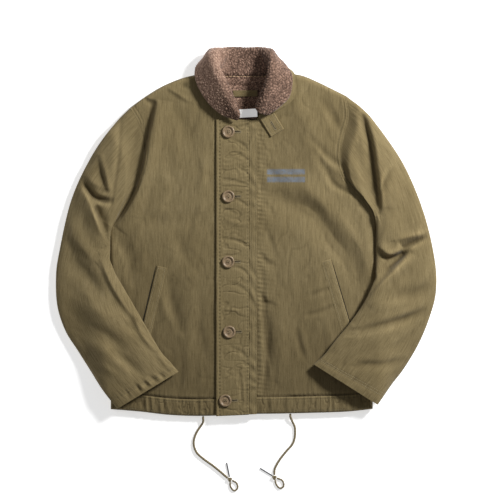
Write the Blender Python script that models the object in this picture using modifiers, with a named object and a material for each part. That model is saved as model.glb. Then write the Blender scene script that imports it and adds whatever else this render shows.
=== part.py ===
# Deck jacket with a rolled pile collar, buttoned up and laid flat on its back.
# +X is to the right of a viewer who looks down on it, which is the wearer's left.
# +Y runs from the hem to the collar, +Z is up, and the table is at Z = 0.
# Lengths are written in millimetres here and become metres as a mesh is made.

import math
from collections import namedtuple

import bmesh
import bpy
import numpy as np

MM = 0.001
TO_ORIGIN = np.array([0.7, 6.1, 0.0])  # brings the middle of the outline over the origin

# Driving dimensions
GAP = 0.3  # between two pieces at a seam
BODY_WALL = 8.0  # shell cloth and pile lining, measured as one cloth
SLEEVE_WALL = 8.0  # shell cloth and quilted lining
SLEEVE_SLACK = 2.0  # most room left between the two faces of a flattened sleeve
SEAM_LIP = 1.6  # thickness left where a wall is pressed into its seam
EDGE_ROUND = 11.0  # how far in from a side seam the cloth rounds up
HEM_BAND = 34.0  # height of the drawcord channel round the hem
FLAP_WIDTH = 66.0
FLAP_WALL = 3.0
STRIP_WIDTH = 15.0  # topstitched strip beside the flap, over the hidden zip
BUTTON_WIDTH = 25.0
BUTTON_HEIGHT = 4.2
BUTTON_GAP = 0.5  # over the flap's own facets
HOLE_WIDTH = 2.2  # one of a button's four thread holes
HOLE_AWAY = 2.6  # from the button's middle to a hole's
WELT_WIDTH = 20.0
WELT_WALL = 1.8
PILE_WALL = 4.0
LINING_WALL = 2.8  # the pile of the back's lining, over the back panel's own wall
UNDER_WALL = 1.6
CORD_WIDTH = 4.6
LOOP_CORD_WIDTH = 3.7  # the same cord, pulled tight past its knot
TIP_WIDTH = 2.6

FRONT_BASE = BODY_WALL + GAP  # underside of the two fronts
FRONT_TOP = FRONT_BASE + BODY_WALL
FLAP_BASE = FRONT_TOP + GAP
OVER_BODY = 20.6  # underside of a sleeve where it crosses the fronts
FLAP_LEFT = -61.0
FLAP_RIGHT = FLAP_LEFT + FLAP_WIDTH
STRIP_LEFT = FLAP_RIGHT + GAP
STRIP_RIGHT = STRIP_LEFT + STRIP_WIDTH
FLAP_TOP = 218.0

# Outlines of the cloth as it lies, each from the hem upwards or from the neck outwards.
Spot = namedtuple("Spot", "x y")
HEM_EDGE = [
    Spot(-272, -362), Spot(-212, -367), Spot(-160, -373), Spot(-110, -375.5), Spot(-61, -375),
    Spot(-12, -373), Spot(20, -371.5), Spot(60, -371), Spot(128, -369.5), Spot(200, -367), Spot(253, -361.5),
]
RIGHT_SIDE = [Spot(-272, -328), Spot(-276, -180), Spot(-273, 0)]
RIGHT_ARMHOLE = [
    Spot(-273, 0), Spot(-250, 33), Spot(-222, 85), Spot(-206, 140), Spot(-206, 180), Spot(-217, 214),
    Spot(-233, 242),
]
RIGHT_SHOULDER = [
    Spot(-70, 311), Spot(-101, 308), Spot(-133, 300), Spot(-169, 285), Spot(-203, 264), Spot(-233, 242),
]
RIGHT_NECK = [Spot(0, 213), Spot(-21, 222), Spot(-43, 238), Spot(-61, 260), Spot(-69, 281), Spot(-70, 311)]
LEFT_SIDE = [Spot(253, -327), Spot(258, -180), Spot(261, 20)]
LEFT_ARMHOLE = [
    Spot(261, 20), Spot(244, 54), Spot(220, 77), Spot(202, 99), Spot(191, 130), Spot(190, 158),
    Spot(197, 192), Spot(205, 225), Spot(199, 266),
]
LEFT_SHOULDER = [
    Spot(72, 312), Spot(96, 309.5), Spot(115, 305.5), Spot(139, 295.5), Spot(168, 281.5), Spot(199, 266),
]
LEFT_NECK = [Spot(20.6, 219), Spot(29, 234), Spot(43, 250), Spot(57, 268), Spot(65, 286), Spot(72, 312)]
LINING_RIGHT = [
    Spot(-8, 219.5), Spot(-20, 224), Spot(-41, 241), Spot(-58, 262), Spot(-66, 281), Spot(-66, 302),
]
LINING_LEFT = [
    Spot(18.5, 219.5), Spot(26.5, 235), Spot(41, 252), Spot(54.5, 269), Spot(62.5, 287), Spot(66, 303),
]
BACK_NECK = [Spot(-70, 311), Spot(-40, 306), Spot(0, 305), Spot(40, 306), Spot(72, 312)]

# Folds of the cloth. Each runs from its start to its end, bowed to its left by bow.
# Its flanks are left and right wide, and height is below 0 for a trough.
Fold = namedtuple("Fold", "x0 y0 x1 y1 bow left right height")
FOLD_END = 12.0  # length over which a fold dies away past its ends
RIGHT_FRONT_FOLDS = [
    Fold(-176, 262, -200, 120, -6, 26, 7, 6.0),
    Fold(-200, 150, -246, 44, 4, 30, 8, 4.5),
    Fold(-150, 250, -100, 160, 10, 16, 22, -3.0),
    Fold(-246, -30, -120, 30, 12, 24, 20, -3.0),
    Fold(-150, -20, -104, -110, 8, 18, 22, -3.5),
    Fold(-140, -130, -110, -290, -8, 22, 26, 3.0),
    Fold(-150, -60, -118, -190, -4, 12, 18, -3.0),
]
LEFT_FRONT_FOLDS = [
    Fold(150, 240, 196, 70, -14, 12, 18, -5.0),
    Fold(100, 260, 150, 120, 6, 20, 22, 4.0),
    Fold(30, 84, 170, 10, 14, 14, 20, -5.5),
    Fold(60, 50, 200, -30, 10, 22, 26, 4.0),
    Fold(150, 60, 236, -90, 14, 18, 16, -4.5),
    Fold(40, -60, 44, -330, -10, 12, 16, -5.0),
    Fold(80, -110, 120, -300, 10, 26, 30, 3.0),
]
RIGHT_SLEEVE_FOLDS = [
    Fold(-254, 222, -270, 52, 8, 15, 10, 4.5),
    Fold(-206, 180, -262, 40, 0, 11, 22, -8.0),
    Fold(-300, 150, -280, 66, -4, 10, 14, -5.0),
    Fold(-331, 94, -274, 58, -8, 8, 12, -10.0),
    Fold(-329, 84, -276, -20, -6, 26, 10, 7.0),
    Fold(-340, 20, -270, -60, -10, 18, 22, -4.0),
    Fold(-356, -40, -240, -130, -10, 24, 22, 4.0),
    Fold(-330, -150, -226, -150, 12, 16, 18, -5.0),
    Fold(-300, -200, -196, -196, 10, 16, 20, 4.0),
    Fold(-290, -260, -190, -236, 8, 14, 16, -4.0),
]
LEFT_SLEEVE_FOLDS = [
    Fold(236, 236, 262, 30, 14, 15, 9, -9.0),
    Fold(250, 232, 280, 0, 12, 8, 34, 5.0),
    Fold(354, -6, 290, -36, 4, 9, 20, -5.0),
    Fold(318, -52, 262, -84, -4, 15, 12, -13.0),
    Fold(340, -10, 262, -50, -6, 10, 24, 5.0),
    Fold(316, -58, 200, -196, 8, 9, 30, 5.0),
    Fold(370, -110, 236, -168, -12, 18, 20, -4.0),
    Fold(350, -170, 196, -210, -10, 16, 22, -5.0),
    Fold(330, -250, 214, -256, -8, 20, 18, 3.5),
]

# Sections of a sleeve from the armhole to the cuff: its two edges as seen from above,
# and its height there. lift is 0 on the table and 1 where the sleeve lies over the fronts.
Section = namedtuple("Section", "outer_x outer_y inner_x inner_y height lift")
RIGHT_SLEEVE = [
    Section(-233.5, 242.5, -273.5, 0.5, 16.5, 0.0),
    Section(-264, 210, -280, 0, 18, 0.0),
    Section(-310, 146, -281, -14, 21, 0.0),
    Section(-351, 58, -279.5, -29, 22, 0.1),
    Section(-376, -50, -277, -50, 22, 0.55),
    Section(-382, -100, -264, -85, 22, 1.0),
    Section(-379, -156, -246, -117, 22, 1.0),
    Section(-363, -205, -217, -167, 21, 1.0),
    Section(-338, -245, -190, -214, 21, 1.0),
    Section(-312, -286, -170, -247, 20, 1.0),
    Section(-289, -321, -152, -267, 19, 1.0),
    Section(-258, -360, -136, -286, 18, 1.0),
]
LEFT_SLEEVE = [
    Section(199.9, 266.5, 262.0, 20.7, 16.5, 0.0),
    Section(233, 239, 265, 13.5, 19, 0.0),
    Section(258, 211, 264, 4, 22, 0.0),
    Section(313, 132, 264, -14, 24, 0.0),
    Section(354, 36, 263, -34, 25, 0.1),
    Section(377, -60, 262, -62, 25, 0.45),
    Section(380, -125, 257, -97, 24, 0.85),
    Section(367, -178, 236, -145, 23, 1.0),
    Section(345, -231, 205, -190, 22, 1.0),
    Section(316, -280, 175, -226, 22, 1.0),
    Section(289, -315, 156, -251, 21, 1.0),
    Section(262, -352, 134, -271, 20, 1.0),
]

# The collar from its front end on the right, round the back, to its front end on the left:
# where it joins the neck, the ridge that it rolls over, and its outer edge.
Station = namedtuple("Station", "neck_x neck_y neck_z roll_x roll_y roll_z edge_x edge_y edge_z")
COLLAR = [
    Station(-27, 227, 18.6, -15, 232, 35, -19, 217, 28),
    Station(-41, 240, 18.6, -26, 254, 43, -50, 228, 27),
    Station(-60, 262, 18.6, -36, 277, 47, -80, 256, 26),
    Station(-71, 287, 18.6, -46, 298, 50, -99, 290, 24),
    Station(-72, 303, 18.6, -56, 319, 51, -102, 316, 18),
    Station(-66, 311, 17, -62, 337, 47, -91, 333, 9),
    Station(-54, 311, 14.5, -57, 353, 33, -74, 344, 5.2),
    Station(-36, 309, 13.6, -38, 359, 16, -44, 328, 5.2),
    Station(0, 308, 13.4, 0, 358.5, 10, 0, 322, 5.2),
    Station(28, 309, 13.6, 30, 359, 16, 32, 328, 5.2),
    Station(48, 312, 14.5, 42, 353, 33, 53, 344, 5.2),
    Station(60, 314, 17, 47, 338, 47, 70, 334, 9),
    Station(69, 304, 18.6, 46, 318, 52, 87, 314, 18),
    Station(66, 287, 19.7, 42, 296, 51, 91, 291, 24),
    Station(56, 264, 20.1, 32, 268, 48, 84, 262, 26),
    Station(44, 246, 20.1, 24, 248, 42, 60, 238, 29),
    Station(36, 238, 19.6, 20, 238, 36, 40, 226, 30),
]

# Straight tabs and straps that lie on the cloth: middle of each end, and width.
Strap = namedtuple("Strap", "x0 y0 x1 y1 width")
LATCH = Strap(38, 230, 61, 187, 27)
LATCH_WALL = 2.4
HANGER = Strap(-27, 270, 22, 271, 12.5)
STRAP_GAP = 0.8  # over the fronts' own facets
HANGER_WALL = 1.6
HANGER_RISE = 1.2
LABEL = Strap(-14, 231, 21.5, 233, 14.5)
LABEL_WALL = 0.8
RIGHT_WELT = Strap(-169, -77, -207, -234, WELT_WIDTH)
LEFT_WELT = Strap(159, -64, 205, -219, WELT_WIDTH)

BUTTONS = [Spot(-36.4, 193.6), Spot(-36.4, 64.2), Spot(-36.6, -66.6), Spot(-34.4, -206.8), Spot(-42.4, -344)]

# Drawcords, from the hem outwards, and the knot that each ends in. The knot's angles say
# on which side of it the cord, the tip of its tail and the two ends of its loop stand.
Knot = namedtuple("Knot", "x y cord_at tip_at loop_out loop_back")
KNOT_WIDTH = 9.4
RIGHT_CORD = [
    Spot(-87, -380), Spot(-88, -390), Spot(-101, -411), Spot(-106, -430), Spot(-101, -448), Spot(-88, -461),
    Spot(-66, -477), Spot(-49, -491),
]
RIGHT_KNOT = Knot(-33.5, -503.5, 149, 98, -82, -22)
RIGHT_LOOP = [Spot(-32, -518), Spot(-25, -526), Spot(-18, -521), Spot(-20, -511)]
RIGHT_TIP = Spot(-40, -470)
LEFT_CORD = [
    Spot(88, -377), Spot(91, -385), Spot(97, -399), Spot(97, -418), Spot(92, -433), Spot(79, -448),
    Spot(66, -465), Spot(57, -482),
]
LEFT_KNOT = Knot(56, -499.5, 92, 141, -76, -14)
LEFT_LOOP = [Spot(60, -514), Spot(67, -521), Spot(74.5, -517), Spot(72, -506)]
LEFT_TIP = Spot(27, -481)
CORD_FALL = 26.0  # length over which a cord comes down from the hem to the table

# Where the points of the body and of a sleeve lie along an armhole, as shares of its length.
SIDE_ROWS = 10
ARM_SHARES = 0.5 - 0.5 * np.cos(np.linspace(0, math.pi, 13))

# name: colour, roughness, metallic
FINISHES = {
    "shell_cloth": ((0.196, 0.165, 0.094, 1.0), 0.85, 0.0),
    "collar_pile": ((0.205, 0.118, 0.082, 1.0), 0.95, 0.0),
    "button_resin": ((0.21, 0.145, 0.075, 1.0), 0.42, 0.0),
    "white_label": ((0.72, 0.71, 0.68, 1.0), 0.8, 0.0),
    "cord_braid": ((0.19, 0.15, 0.08, 1.0), 0.8, 0.0),
    "cord_tip": ((0.035, 0.037, 0.045, 1.0), 0.5, 0.0),
}


def smooth_line(points, count):
    """Points along a Catmull-Rom curve through the given ones: so many, or at these shares of its length."""
    knots = np.array(points, float)
    padded = np.vstack([2 * knots[0] - knots[1], knots, 2 * knots[-1] - knots[-2]])
    t = np.linspace(0, 1, 12, endpoint=False)[:, None]
    runs = []
    for a, b, c, d in zip(padded[:-3], padded[1:-2], padded[2:-1], padded[3:]):
        bend = (2 * a - 5 * b + 4 * c - d) * t**2 + (3 * b - a - 3 * c + d) * t**3
        runs.append(b + 0.5 * ((c - a) * t + bend))
    fine = np.vstack(runs + [knots[-1:]])
    along = np.concatenate([[0], np.cumsum(np.linalg.norm(np.diff(fine[:, :3], axis=0), axis=1))])
    at = count * along[-1] if np.ndim(count) else np.linspace(0, along[-1], count)
    return np.stack([np.interp(at, along, fine[:, k]) for k in range(fine.shape[1])], axis=1)


def walked(line):
    """How far along a line each of its points is."""
    return np.concatenate([[0], np.cumsum(np.linalg.norm(np.diff(line, axis=0), axis=1))])


def joined_line(first, second, shares):
    """Points at these shares of the way along two curves, one of them at the corner where they meet."""
    lengths = [walked(smooth_line(line, 60))[-1] for line in (first, second)]
    corner = np.argmin(np.abs(shares - lengths[0] / sum(lengths)))
    before = smooth_line(first, shares[: corner + 1] / shares[corner])
    after = smooth_line(second, (shares[corner:] - shares[corner]) / (1 - shares[corner]))
    return np.vstack([before, after[1:]])


def side_line(side, armhole):
    """The side seam and then the armhole, with the points that a sleeve shares, and their shares of the way."""
    line = np.vstack([smooth_line(side, np.linspace(0, 1, SIDE_ROWS))[:-1], smooth_line(armhole, ARM_SHARES)])
    return line, walked(line) / walked(line)[-1]


def shares_with_rim(count, low_rim, high_rim):
    """Shares from 0 to 1 for rows of points, with closer rows where an edge is rounded."""
    rim = np.array([0.0, 0.006, 0.022])
    low = rim if low_rim else np.array([0.0])
    high = 1 - rim[::-1] if high_rim else np.array([1.0])
    start = 0.05 if low_rim else 1.0 / (count + 1)
    end = 0.95 if high_rim else 1 - 1.0 / (count + 1)
    return np.concatenate([low, np.linspace(start, end, count), high])


def patch(bottom, top, inner, outer, across, up):
    """Grid of points, rows going up and columns across, that fills four border lines."""
    u, v = across[None, :, None], up[:, None, None]
    sides = (1 - u) * inner[:, None, :] + u * outer[:, None, :]
    ends = (1 - v) * bottom[None, :, :] + v * top[None, :, :]
    low = (1 - u) * bottom[0] + u * bottom[-1]
    high = (1 - u) * top[0] + u * top[-1]
    return sides + ends - (1 - v) * low - v * high


def rounded(distance, reach):
    """0 at an edge and 1 from reach inwards, along a quarter of an ellipse."""
    near = np.clip(distance / reach, 0, 1)
    return np.sqrt(1 - (1 - near) ** 2)


def smooth_step(x, low, high):
    t = np.clip((x - low) / (high - low), 0, 1)
    return t * t * (3 - 2 * t)


def folded(x, y, folds):
    """Height that the folds add at each point: a bell across each fold, tapered at its ends."""
    total = np.zeros_like(x)
    for f in folds:
        run = np.array([f.x1 - f.x0, f.y1 - f.y0])
        length = np.hypot(*run)
        run = run / length
        t = ((x - f.x0) * run[0] + (y - f.y0) * run[1]) / length
        inside = np.clip(t, 0, 1)
        away = (y - f.y0) * run[0] - (x - f.x0) * run[1] - f.bow * np.sin(math.pi * inside)
        beyond = (np.abs(t - 0.5) - 0.5).clip(0) * length
        flank = np.where(away > 0, f.left, f.right)
        taper = np.sqrt(np.sin(math.pi * (0.06 + 0.88 * inside)))
        total += f.height * taper * np.exp(-((away / flank) ** 2) - (beyond / FOLD_END) ** 2)
    return total


def hem_y(x):
    line = smooth_line(HEM_EDGE, 80)
    return np.interp(x, line[:, 0], line[:, 1])


def material(name):
    """The named finish as a material, made once."""
    found = bpy.data.materials.get(name)
    if found:
        return found
    colour, roughness, metallic = FINISHES[name]
    made = bpy.data.materials.new(name)
    made.use_nodes = True
    shader = made.node_tree.nodes["Principled BSDF"]
    shader.inputs["Base Color"].default_value = colour
    shader.inputs["Roughness"].default_value = roughness
    shader.inputs["Metallic"].default_value = metallic
    made.diffuse_color = colour
    return made


def add_piece(name, points, faces, finish):
    """A named mesh object in the jacket's collection, from points in millimetres."""
    mesh = bpy.data.meshes.new(name)
    mesh.from_pydata(((np.asarray(points) + TO_ORIGIN) * MM).tolist(), [], faces)
    work = bmesh.new()
    work.from_mesh(mesh)
    bmesh.ops.recalc_face_normals(work, faces=work.faces)
    work.to_mesh(mesh)
    work.free()
    mesh.shade_smooth()
    mesh.set_sharp_from_angle(angle=math.radians(50))
    mesh.materials.append(material(finish))
    piece = bpy.data.objects.new(name, mesh)
    jacket.objects.link(piece)
    return piece


def wall_between(name, outer, inner, finish):
    """A closed wall between two grids of points, rows by columns by xyz, joined round their border."""
    rows, columns = outer.shape[:2]
    index = np.arange(rows * columns).reshape(rows, columns)
    under = index + rows * columns
    faces = []
    for r in range(rows - 1):
        for c in range(columns - 1):
            faces.append((index[r, c], index[r, c + 1], index[r + 1, c + 1], index[r + 1, c]))
            faces.append((under[r, c], under[r + 1, c], under[r + 1, c + 1], under[r, c + 1]))
    border = [(0, c) for c in range(columns)] + [(r, columns - 1) for r in range(1, rows)]
    border += [(rows - 1, c) for c in range(columns - 2, -1, -1)] + [(r, 0) for r in range(rows - 2, 0, -1)]
    for a, b in zip(border, border[1:] + border[:1]):
        faces.append((index[b], index[a], under[a], under[b]))
    points = np.vstack([outer.reshape(-1, 3), inner.reshape(-1, 3)])
    return add_piece(name, points, [tuple(int(i) for i in f) for f in faces], finish)


def tube_wall(name, outer, inner, finish):
    """A closed wall between two tubes of rings, rings by points by xyz, joined at both mouths."""
    rings, count = outer.shape[:2]
    index = np.arange(rings * count).reshape(rings, count)
    inside = index + rings * count
    faces = []
    for k in range(count):
        n = (k + 1) % count
        for r in range(rings - 1):
            faces.append((index[r, k], index[r, n], index[r + 1, n], index[r + 1, k]))
            faces.append((inside[r, k], inside[r + 1, k], inside[r + 1, n], inside[r, n]))
        faces.append((index[0, n], index[0, k], inside[0, k], inside[0, n]))
        faces.append((index[-1, k], index[-1, n], inside[-1, n], inside[-1, k]))
    points = np.vstack([outer.reshape(-1, 3), inner.reshape(-1, 3)])
    return add_piece(name, points, [tuple(int(i) for i in f) for f in faces], finish)


def with_height(plan, z):
    return np.dstack([plan, np.broadcast_to(z, plan.shape[:2])])


def edge_distances(plan):
    """How far each point of a grid is from its first and last column and its last row."""
    steps = np.linalg.norm(np.diff(plan, axis=1), axis=2)
    from_first = np.concatenate([np.zeros((len(plan), 1)), np.cumsum(steps, axis=1)], axis=1)
    rises = np.linalg.norm(np.diff(plan, axis=0), axis=2)[::-1]
    from_top = np.concatenate([np.zeros((1, plan.shape[1])), np.cumsum(rises, axis=0)])[::-1]
    return from_first, from_first[:, -1:] - from_first, from_top


def front_plan(side, armhole, shoulder, neck, edge_x, columns):
    """Grid over one front, from its centre edge to its side, and from the hem band to the shoulder."""
    across = shares_with_rim(columns, False, True)
    edge = [Spot(edge_x, hem_y(edge_x) + HEM_BAND + GAP), neck[0]]
    outer, up = side_line(side, armhole)
    inner = joined_line(edge, neck, up)
    bottom_x = inner[0, 0] + across * (outer[0, 0] - inner[0, 0])
    bottom = np.stack([bottom_x, hem_y(bottom_x) + HEM_BAND + GAP], axis=1)
    outer[0], inner[0] = bottom[-1], bottom[0]
    top = smooth_line(shoulder, across)
    return patch(bottom, top, inner, outer, across, up)


def front_height(plan, folds, armpit_y, edge_x):
    """Height of a front's outer face: thick in the middle, pressed down into its side and shoulder seams."""
    x, y = plan[..., 0], plan[..., 1]
    _, from_side, from_shoulder = edge_distances(plan)
    below_arm = 1 - smooth_step(y, armpit_y - 30, armpit_y + 10)
    side = SEAM_LIP / BODY_WALL + (1 - SEAM_LIP / BODY_WALL) * rounded(from_side, EDGE_ROUND)
    arm = 0.86 + 0.14 * rounded(from_side, 5)
    shoulder = SEAM_LIP / BODY_WALL + (1 - SEAM_LIP / BODY_WALL) * rounded(from_shoulder, EDGE_ROUND)
    thickness = BODY_WALL * np.minimum(below_arm * side + (1 - below_arm) * arm, shoulder)
    free = smooth_step(np.abs(x - edge_x), 0, 34) * rounded(from_side, 40) * rounded(from_shoulder, 30)
    swell = folded(x, y, folds) * free
    return FRONT_BASE + np.maximum(thickness + swell, SEAM_LIP)


def make_front(name, plan, folds, armpit_y, edge_x):
    top = front_height(plan, folds, armpit_y, edge_x)
    wall_between(name, with_height(plan, top), with_height(plan, FRONT_BASE), "shell_cloth")


def make_back():
    """The back panel, flat on the table, with its edges turned up into the side and shoulder seams."""
    across = shares_with_rim(12, True, True)
    right, up = side_line(RIGHT_SIDE, RIGHT_ARMHOLE)
    left, _ = side_line(LEFT_SIDE, LEFT_ARMHOLE)
    x = right[0, 0] + across * (left[0, 0] - right[0, 0])
    bottom = np.stack([x, hem_y(x) + HEM_BAND + GAP], axis=1)
    right[0], left[0] = bottom[0], bottom[-1]
    stretches = [smooth_line(line, 30) for line in (RIGHT_SHOULDER[::-1], BACK_NECK, LEFT_SHOULDER)]
    yoke = np.vstack([stretches[0], stretches[1][1:], stretches[2][1:]])
    along = walked(yoke)
    top = np.stack([np.interp(across * along[-1], along, yoke[:, k]) for k in (0, 1)], axis=1)
    plan = patch(bottom, top, right, left, across, up)
    from_right, from_left, from_top = edge_distances(plan)
    depth = np.minimum(rounded(np.minimum(from_right, from_left), EDGE_ROUND), rounded(from_top, EDGE_ROUND))
    underside = (BODY_WALL - SEAM_LIP) * (1 - depth)
    wall_between("back_panel", with_height(plan, BODY_WALL), with_height(plan, underside), "shell_cloth")


def band_ripple(x):
    """Puckers that the drawcord pulls into the hem band, uneven along it."""
    return 0.8 * np.sin(x / 4.6 + 1.8 * np.sin(x / 31)) * (0.6 + 0.4 * np.sin(x / 17))


def make_hem_band(name, x_from, x_to, base, shares):
    """One stretch of the drawcord channel. A base of 0 is the back's, flat on the table."""
    x = x_from + shares * (x_to - x_from)
    up = np.array([0.0, 0.05, 0.2, 0.55, 0.9, 1.0])
    y = hem_y(x)[None, :] + HEM_BAND * up[:, None]
    plan = np.stack([np.broadcast_to(x, y.shape), y], axis=2)
    lip = rounded(HEM_BAND * up, 7) * rounded(HEM_BAND * (1 - up) + 1.2, 4)
    ends = rounded(np.abs(x - (x_from if x_from < -200 else x_to if x_to > 200 else 1e3)), EDGE_ROUND)
    if base > 0:
        full = np.minimum(lip[:, None], np.maximum(ends, 0.2)[None, :]) * BODY_WALL
        top = base + np.maximum(full + band_ripple(x) * lip[:, None] * ends, SEAM_LIP)
        wall_between(name, with_height(plan, top), with_height(plan, base), "shell_cloth")
    else:
        ends = np.minimum(rounded(x - x_from, EDGE_ROUND), rounded(x_to - x, EDGE_ROUND))
        depth = np.minimum(rounded(HEM_BAND * up, 7)[:, None], ends[None, :])
        underside = (BODY_WALL - SEAM_LIP) * (1 - depth)
        wall_between(name, with_height(plan, BODY_WALL), with_height(plan, underside), "shell_cloth")


def flap_wave(x, y):
    """The slight rise and fall of the flap along its length."""
    return 0.2 + 0.5 * np.sin(y / 33 + x / 20) * smooth_step(x, FLAP_LEFT, FLAP_LEFT + 20)


def make_flap():
    """The wind flap that the buttons close, lying over both fronts, with a turned and stitched edge."""
    x = FLAP_LEFT + np.array([0, 0.8, 5, 14, 33, 53, FLAP_WIDTH - 7, FLAP_WIDTH])
    up = np.linspace(0, 1, 30)
    y = hem_y(x)[None, :] - 0.5 + up[:, None] * (FLAP_TOP - hem_y(x)[None, :] + 0.5)
    plan = np.stack([np.broadcast_to(x, y.shape), y], axis=2)
    edge = rounded(x - FLAP_LEFT + 0.4, 4) * np.where(x > FLAP_RIGHT - 2, 0.75, 1.0)
    top = FLAP_BASE + FLAP_WALL * edge[None, :] + flap_wave(x[None, :], y)
    wall_between("wind_flap", with_height(plan, top), with_height(plan, FLAP_BASE), "shell_cloth")


def make_strip():
    """The topstitched strip over the zip, puckered by its two rows of stitching."""
    x = np.array([STRIP_LEFT, STRIP_LEFT + 2, STRIP_LEFT + 7.5, STRIP_RIGHT - 2, STRIP_RIGHT])
    up = np.linspace(0, 1, 44)
    y = hem_y(x)[None, :] + up[:, None] * (FLAP_TOP - 1 - hem_y(x)[None, :])
    plan = np.stack([np.broadcast_to(x, y.shape), y], axis=2)
    pucker = 0.9 * np.sin(y / 4.3 + 2 * np.sin(y / 47)) * np.array([0.2, 0.8, 1, 0.8, 0.2])
    top = FRONT_TOP + np.array([1.0, 2.2, 2.4, 2.0, 0.2]) + pucker
    wall_between("zip_strip", with_height(plan, top), with_height(plan, FRONT_BASE), "shell_cloth")


def sleeve_base(x, y, lift, side_x):
    """Height of a sleeve's underside: on the table, or up over the rounded side of the body."""
    over = smooth_step(np.abs(x), abs(side_x) + 46, abs(side_x) + 1)
    return OVER_BODY * over * lift


def sleeve_rings(sections, armhole, folds, side_x, rings):
    """Outer and inner rings of a flattened sleeve, from the armhole seam to the cuff."""
    table = smooth_line(sections, rings)
    theta = np.linspace(0, 2 * math.pi, 2 * len(ARM_SHARES) - 2, endpoint=False)
    count = len(theta)
    rise = np.sin(theta)
    share = 0.5 - 0.5 * np.cos(theta)
    hump = np.where(rise > 0, np.abs(rise) ** 0.85, -np.abs(rise) ** 0.5)
    seam = smooth_line(armhole, ARM_SHARES)[::-1]
    seam_at = seam[np.r_[0 : len(seam), len(seam) - 2 : 0 : -1]]
    straight = seam[0] + share[:, None] * (seam[-1] - seam[0])
    outer, inner = np.zeros((rings, count, 3)), np.zeros((rings, count, 3))
    table[:, 5] = np.clip(table[:, 5], 0, 1)
    for r, (ox, oy, ix, iy, height, lift) in enumerate(table):
        t = r / (rings - 1)
        fade = (1 - smooth_step(t, 0, 0.3))
        a, b = np.array([ox, oy]), np.array([ix, iy])
        plan = a + share[:, None] * (b - a) + fade * (seam_at - straight)
        base = sleeve_base(plan[:, 0], plan[:, 1], lift, side_x)
        free = smooth_step(t, 0, 0.08) * rounded(1 - t, 0.15) * np.clip(hump, 0, 1)
        swell = folded(plan[:, 0], plan[:, 1], folds) * free
        middle = 0.42 * height
        lowest = SLEEVE_WALL + SLEEVE_SLACK / 3
        top = middle + np.maximum((height - middle) * hump + swell, (lowest + 2.5 - middle) * hump)
        z = np.where(rise > 0, top, middle + middle * hump)
        outer[r] = np.column_stack([plan, base + z])
        width = np.linalg.norm(b - a)
        narrow = 1 - 2 * SLEEVE_WALL / width
        centre = 0.5 + (share - 0.5) * narrow
        hollow = a + centre[:, None] * (b - a) + fade * (seam_at - straight)
        slack = np.clip(z - SLEEVE_WALL - lowest, 0, SLEEVE_SLACK) + 0.8
        roof = lowest - SLEEVE_SLACK / 3 + slack * np.clip(hump, 0, 1) + 0.4
        inner_base = sleeve_base(hollow[:, 0], hollow[:, 1], lift, side_x)
        floor = SLEEVE_WALL - 0.4 * np.abs(hump)
        inner[r] = np.column_stack([hollow, inner_base + np.where(rise > 0, roof, floor)])
    return outer, inner


def make_sleeve(name, sections, armhole, folds, side_x):
    outer, inner = sleeve_rings(sections, armhole, folds, side_x, 24)
    tube_wall(name, outer, inner, "shell_cloth")


def collar_section(neck, roll, edge, offset, steps):
    """One cross-section of the collar: a leg up from the neck, a round turn and a leg down to the edge.
    Its points stand off the line where pile and under collar meet by offset, outwards if above 0."""
    middle = (neck + edge) / 2
    along = (roll - middle) / np.linalg.norm(roll - middle)
    across = (edge - neck) - np.dot(edge - neck, along) * along
    radius = np.linalg.norm(across) / 2
    across = across / (2 * radius)
    centre = roll - along * radius
    first = centre - across * radius
    rise = max(np.dot(first - neck, along), 0)
    last = centre + across * radius
    fall = max(np.dot(last - edge, along), 0)
    reach = radius + offset
    up = np.linspace(1, 0, steps, endpoint=False)
    points = [first - across * offset - along * rise * s for s in up]
    for angle in np.linspace(0, math.pi, steps + 2):
        points.append(centre - across * reach * math.cos(angle) + along * reach * math.sin(angle))
    points += [last + across * offset - along * fall * s for s in np.linspace(0, 1, steps + 1)[1:]]
    return np.array(points)


def collar_grid(offset, stations, steps):
    line = smooth_line(COLLAR, stations)
    return np.array([collar_section(s[:3], s[3:6], s[6:], offset, steps) for s in line])


def make_collar():
    """The pile facing on the outside of the roll and the shell-cloth under collar inside it."""
    walls = (("collar_facing", GAP / 2 + PILE_WALL, GAP / 2, "collar_pile"),
             ("collar_under", -GAP / 2, -GAP / 2 - UNDER_WALL, "shell_cloth"))
    for name, outside, inside, finish in walls:
        wall_between(name, collar_grid(outside, 30, 3), collar_grid(inside, 30, 3), finish)


def make_lining():
    """The pile lining of the back where the open neck shows it, with a raised roll at the collar seam."""
    left, right = smooth_line(LINING_LEFT, 12), smooth_line(LINING_RIGHT, 12)
    across = np.linspace(0, 1, 10)[None, :, None]
    plan = (1 - across) * right[:, None, :] + across * left[:, None, :]
    ridge = 3.0 * smooth_step(plan[..., 1], 290, 303)
    top = BODY_WALL + GAP + LINING_WALL + ridge
    wall_between("neck_lining", with_height(plan, top), with_height(plan, BODY_WALL + GAP), "collar_pile")


def strap_grid(strap, base, rows, columns):
    """Grid along a strap, standing on base(x, y)."""
    start, end = np.array([strap.x0, strap.y0]), np.array([strap.x1, strap.y1])
    run = (end - start) / np.linalg.norm(end - start)
    side = np.array([-run[1], run[0]])
    t = np.linspace(0, 1, rows)
    s = np.linspace(-0.5, 0.5, columns)
    plan = start + t[:, None, None] * (end - start) + s[None, :, None] * strap.width * side
    return np.dstack([plan, base(plan[..., 0], plan[..., 1])])


def make_strap(name, strap, wall, base, finish, rows, columns):
    under = strap_grid(strap, base, rows, columns)
    over = under.copy()
    soft = np.ones(under.shape[:2])
    soft[[0, -1], :] = 0.6
    soft[:, [0, -1]] = 0.6
    over[..., 2] += wall * soft
    return wall_between(name, over, under, finish)


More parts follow.
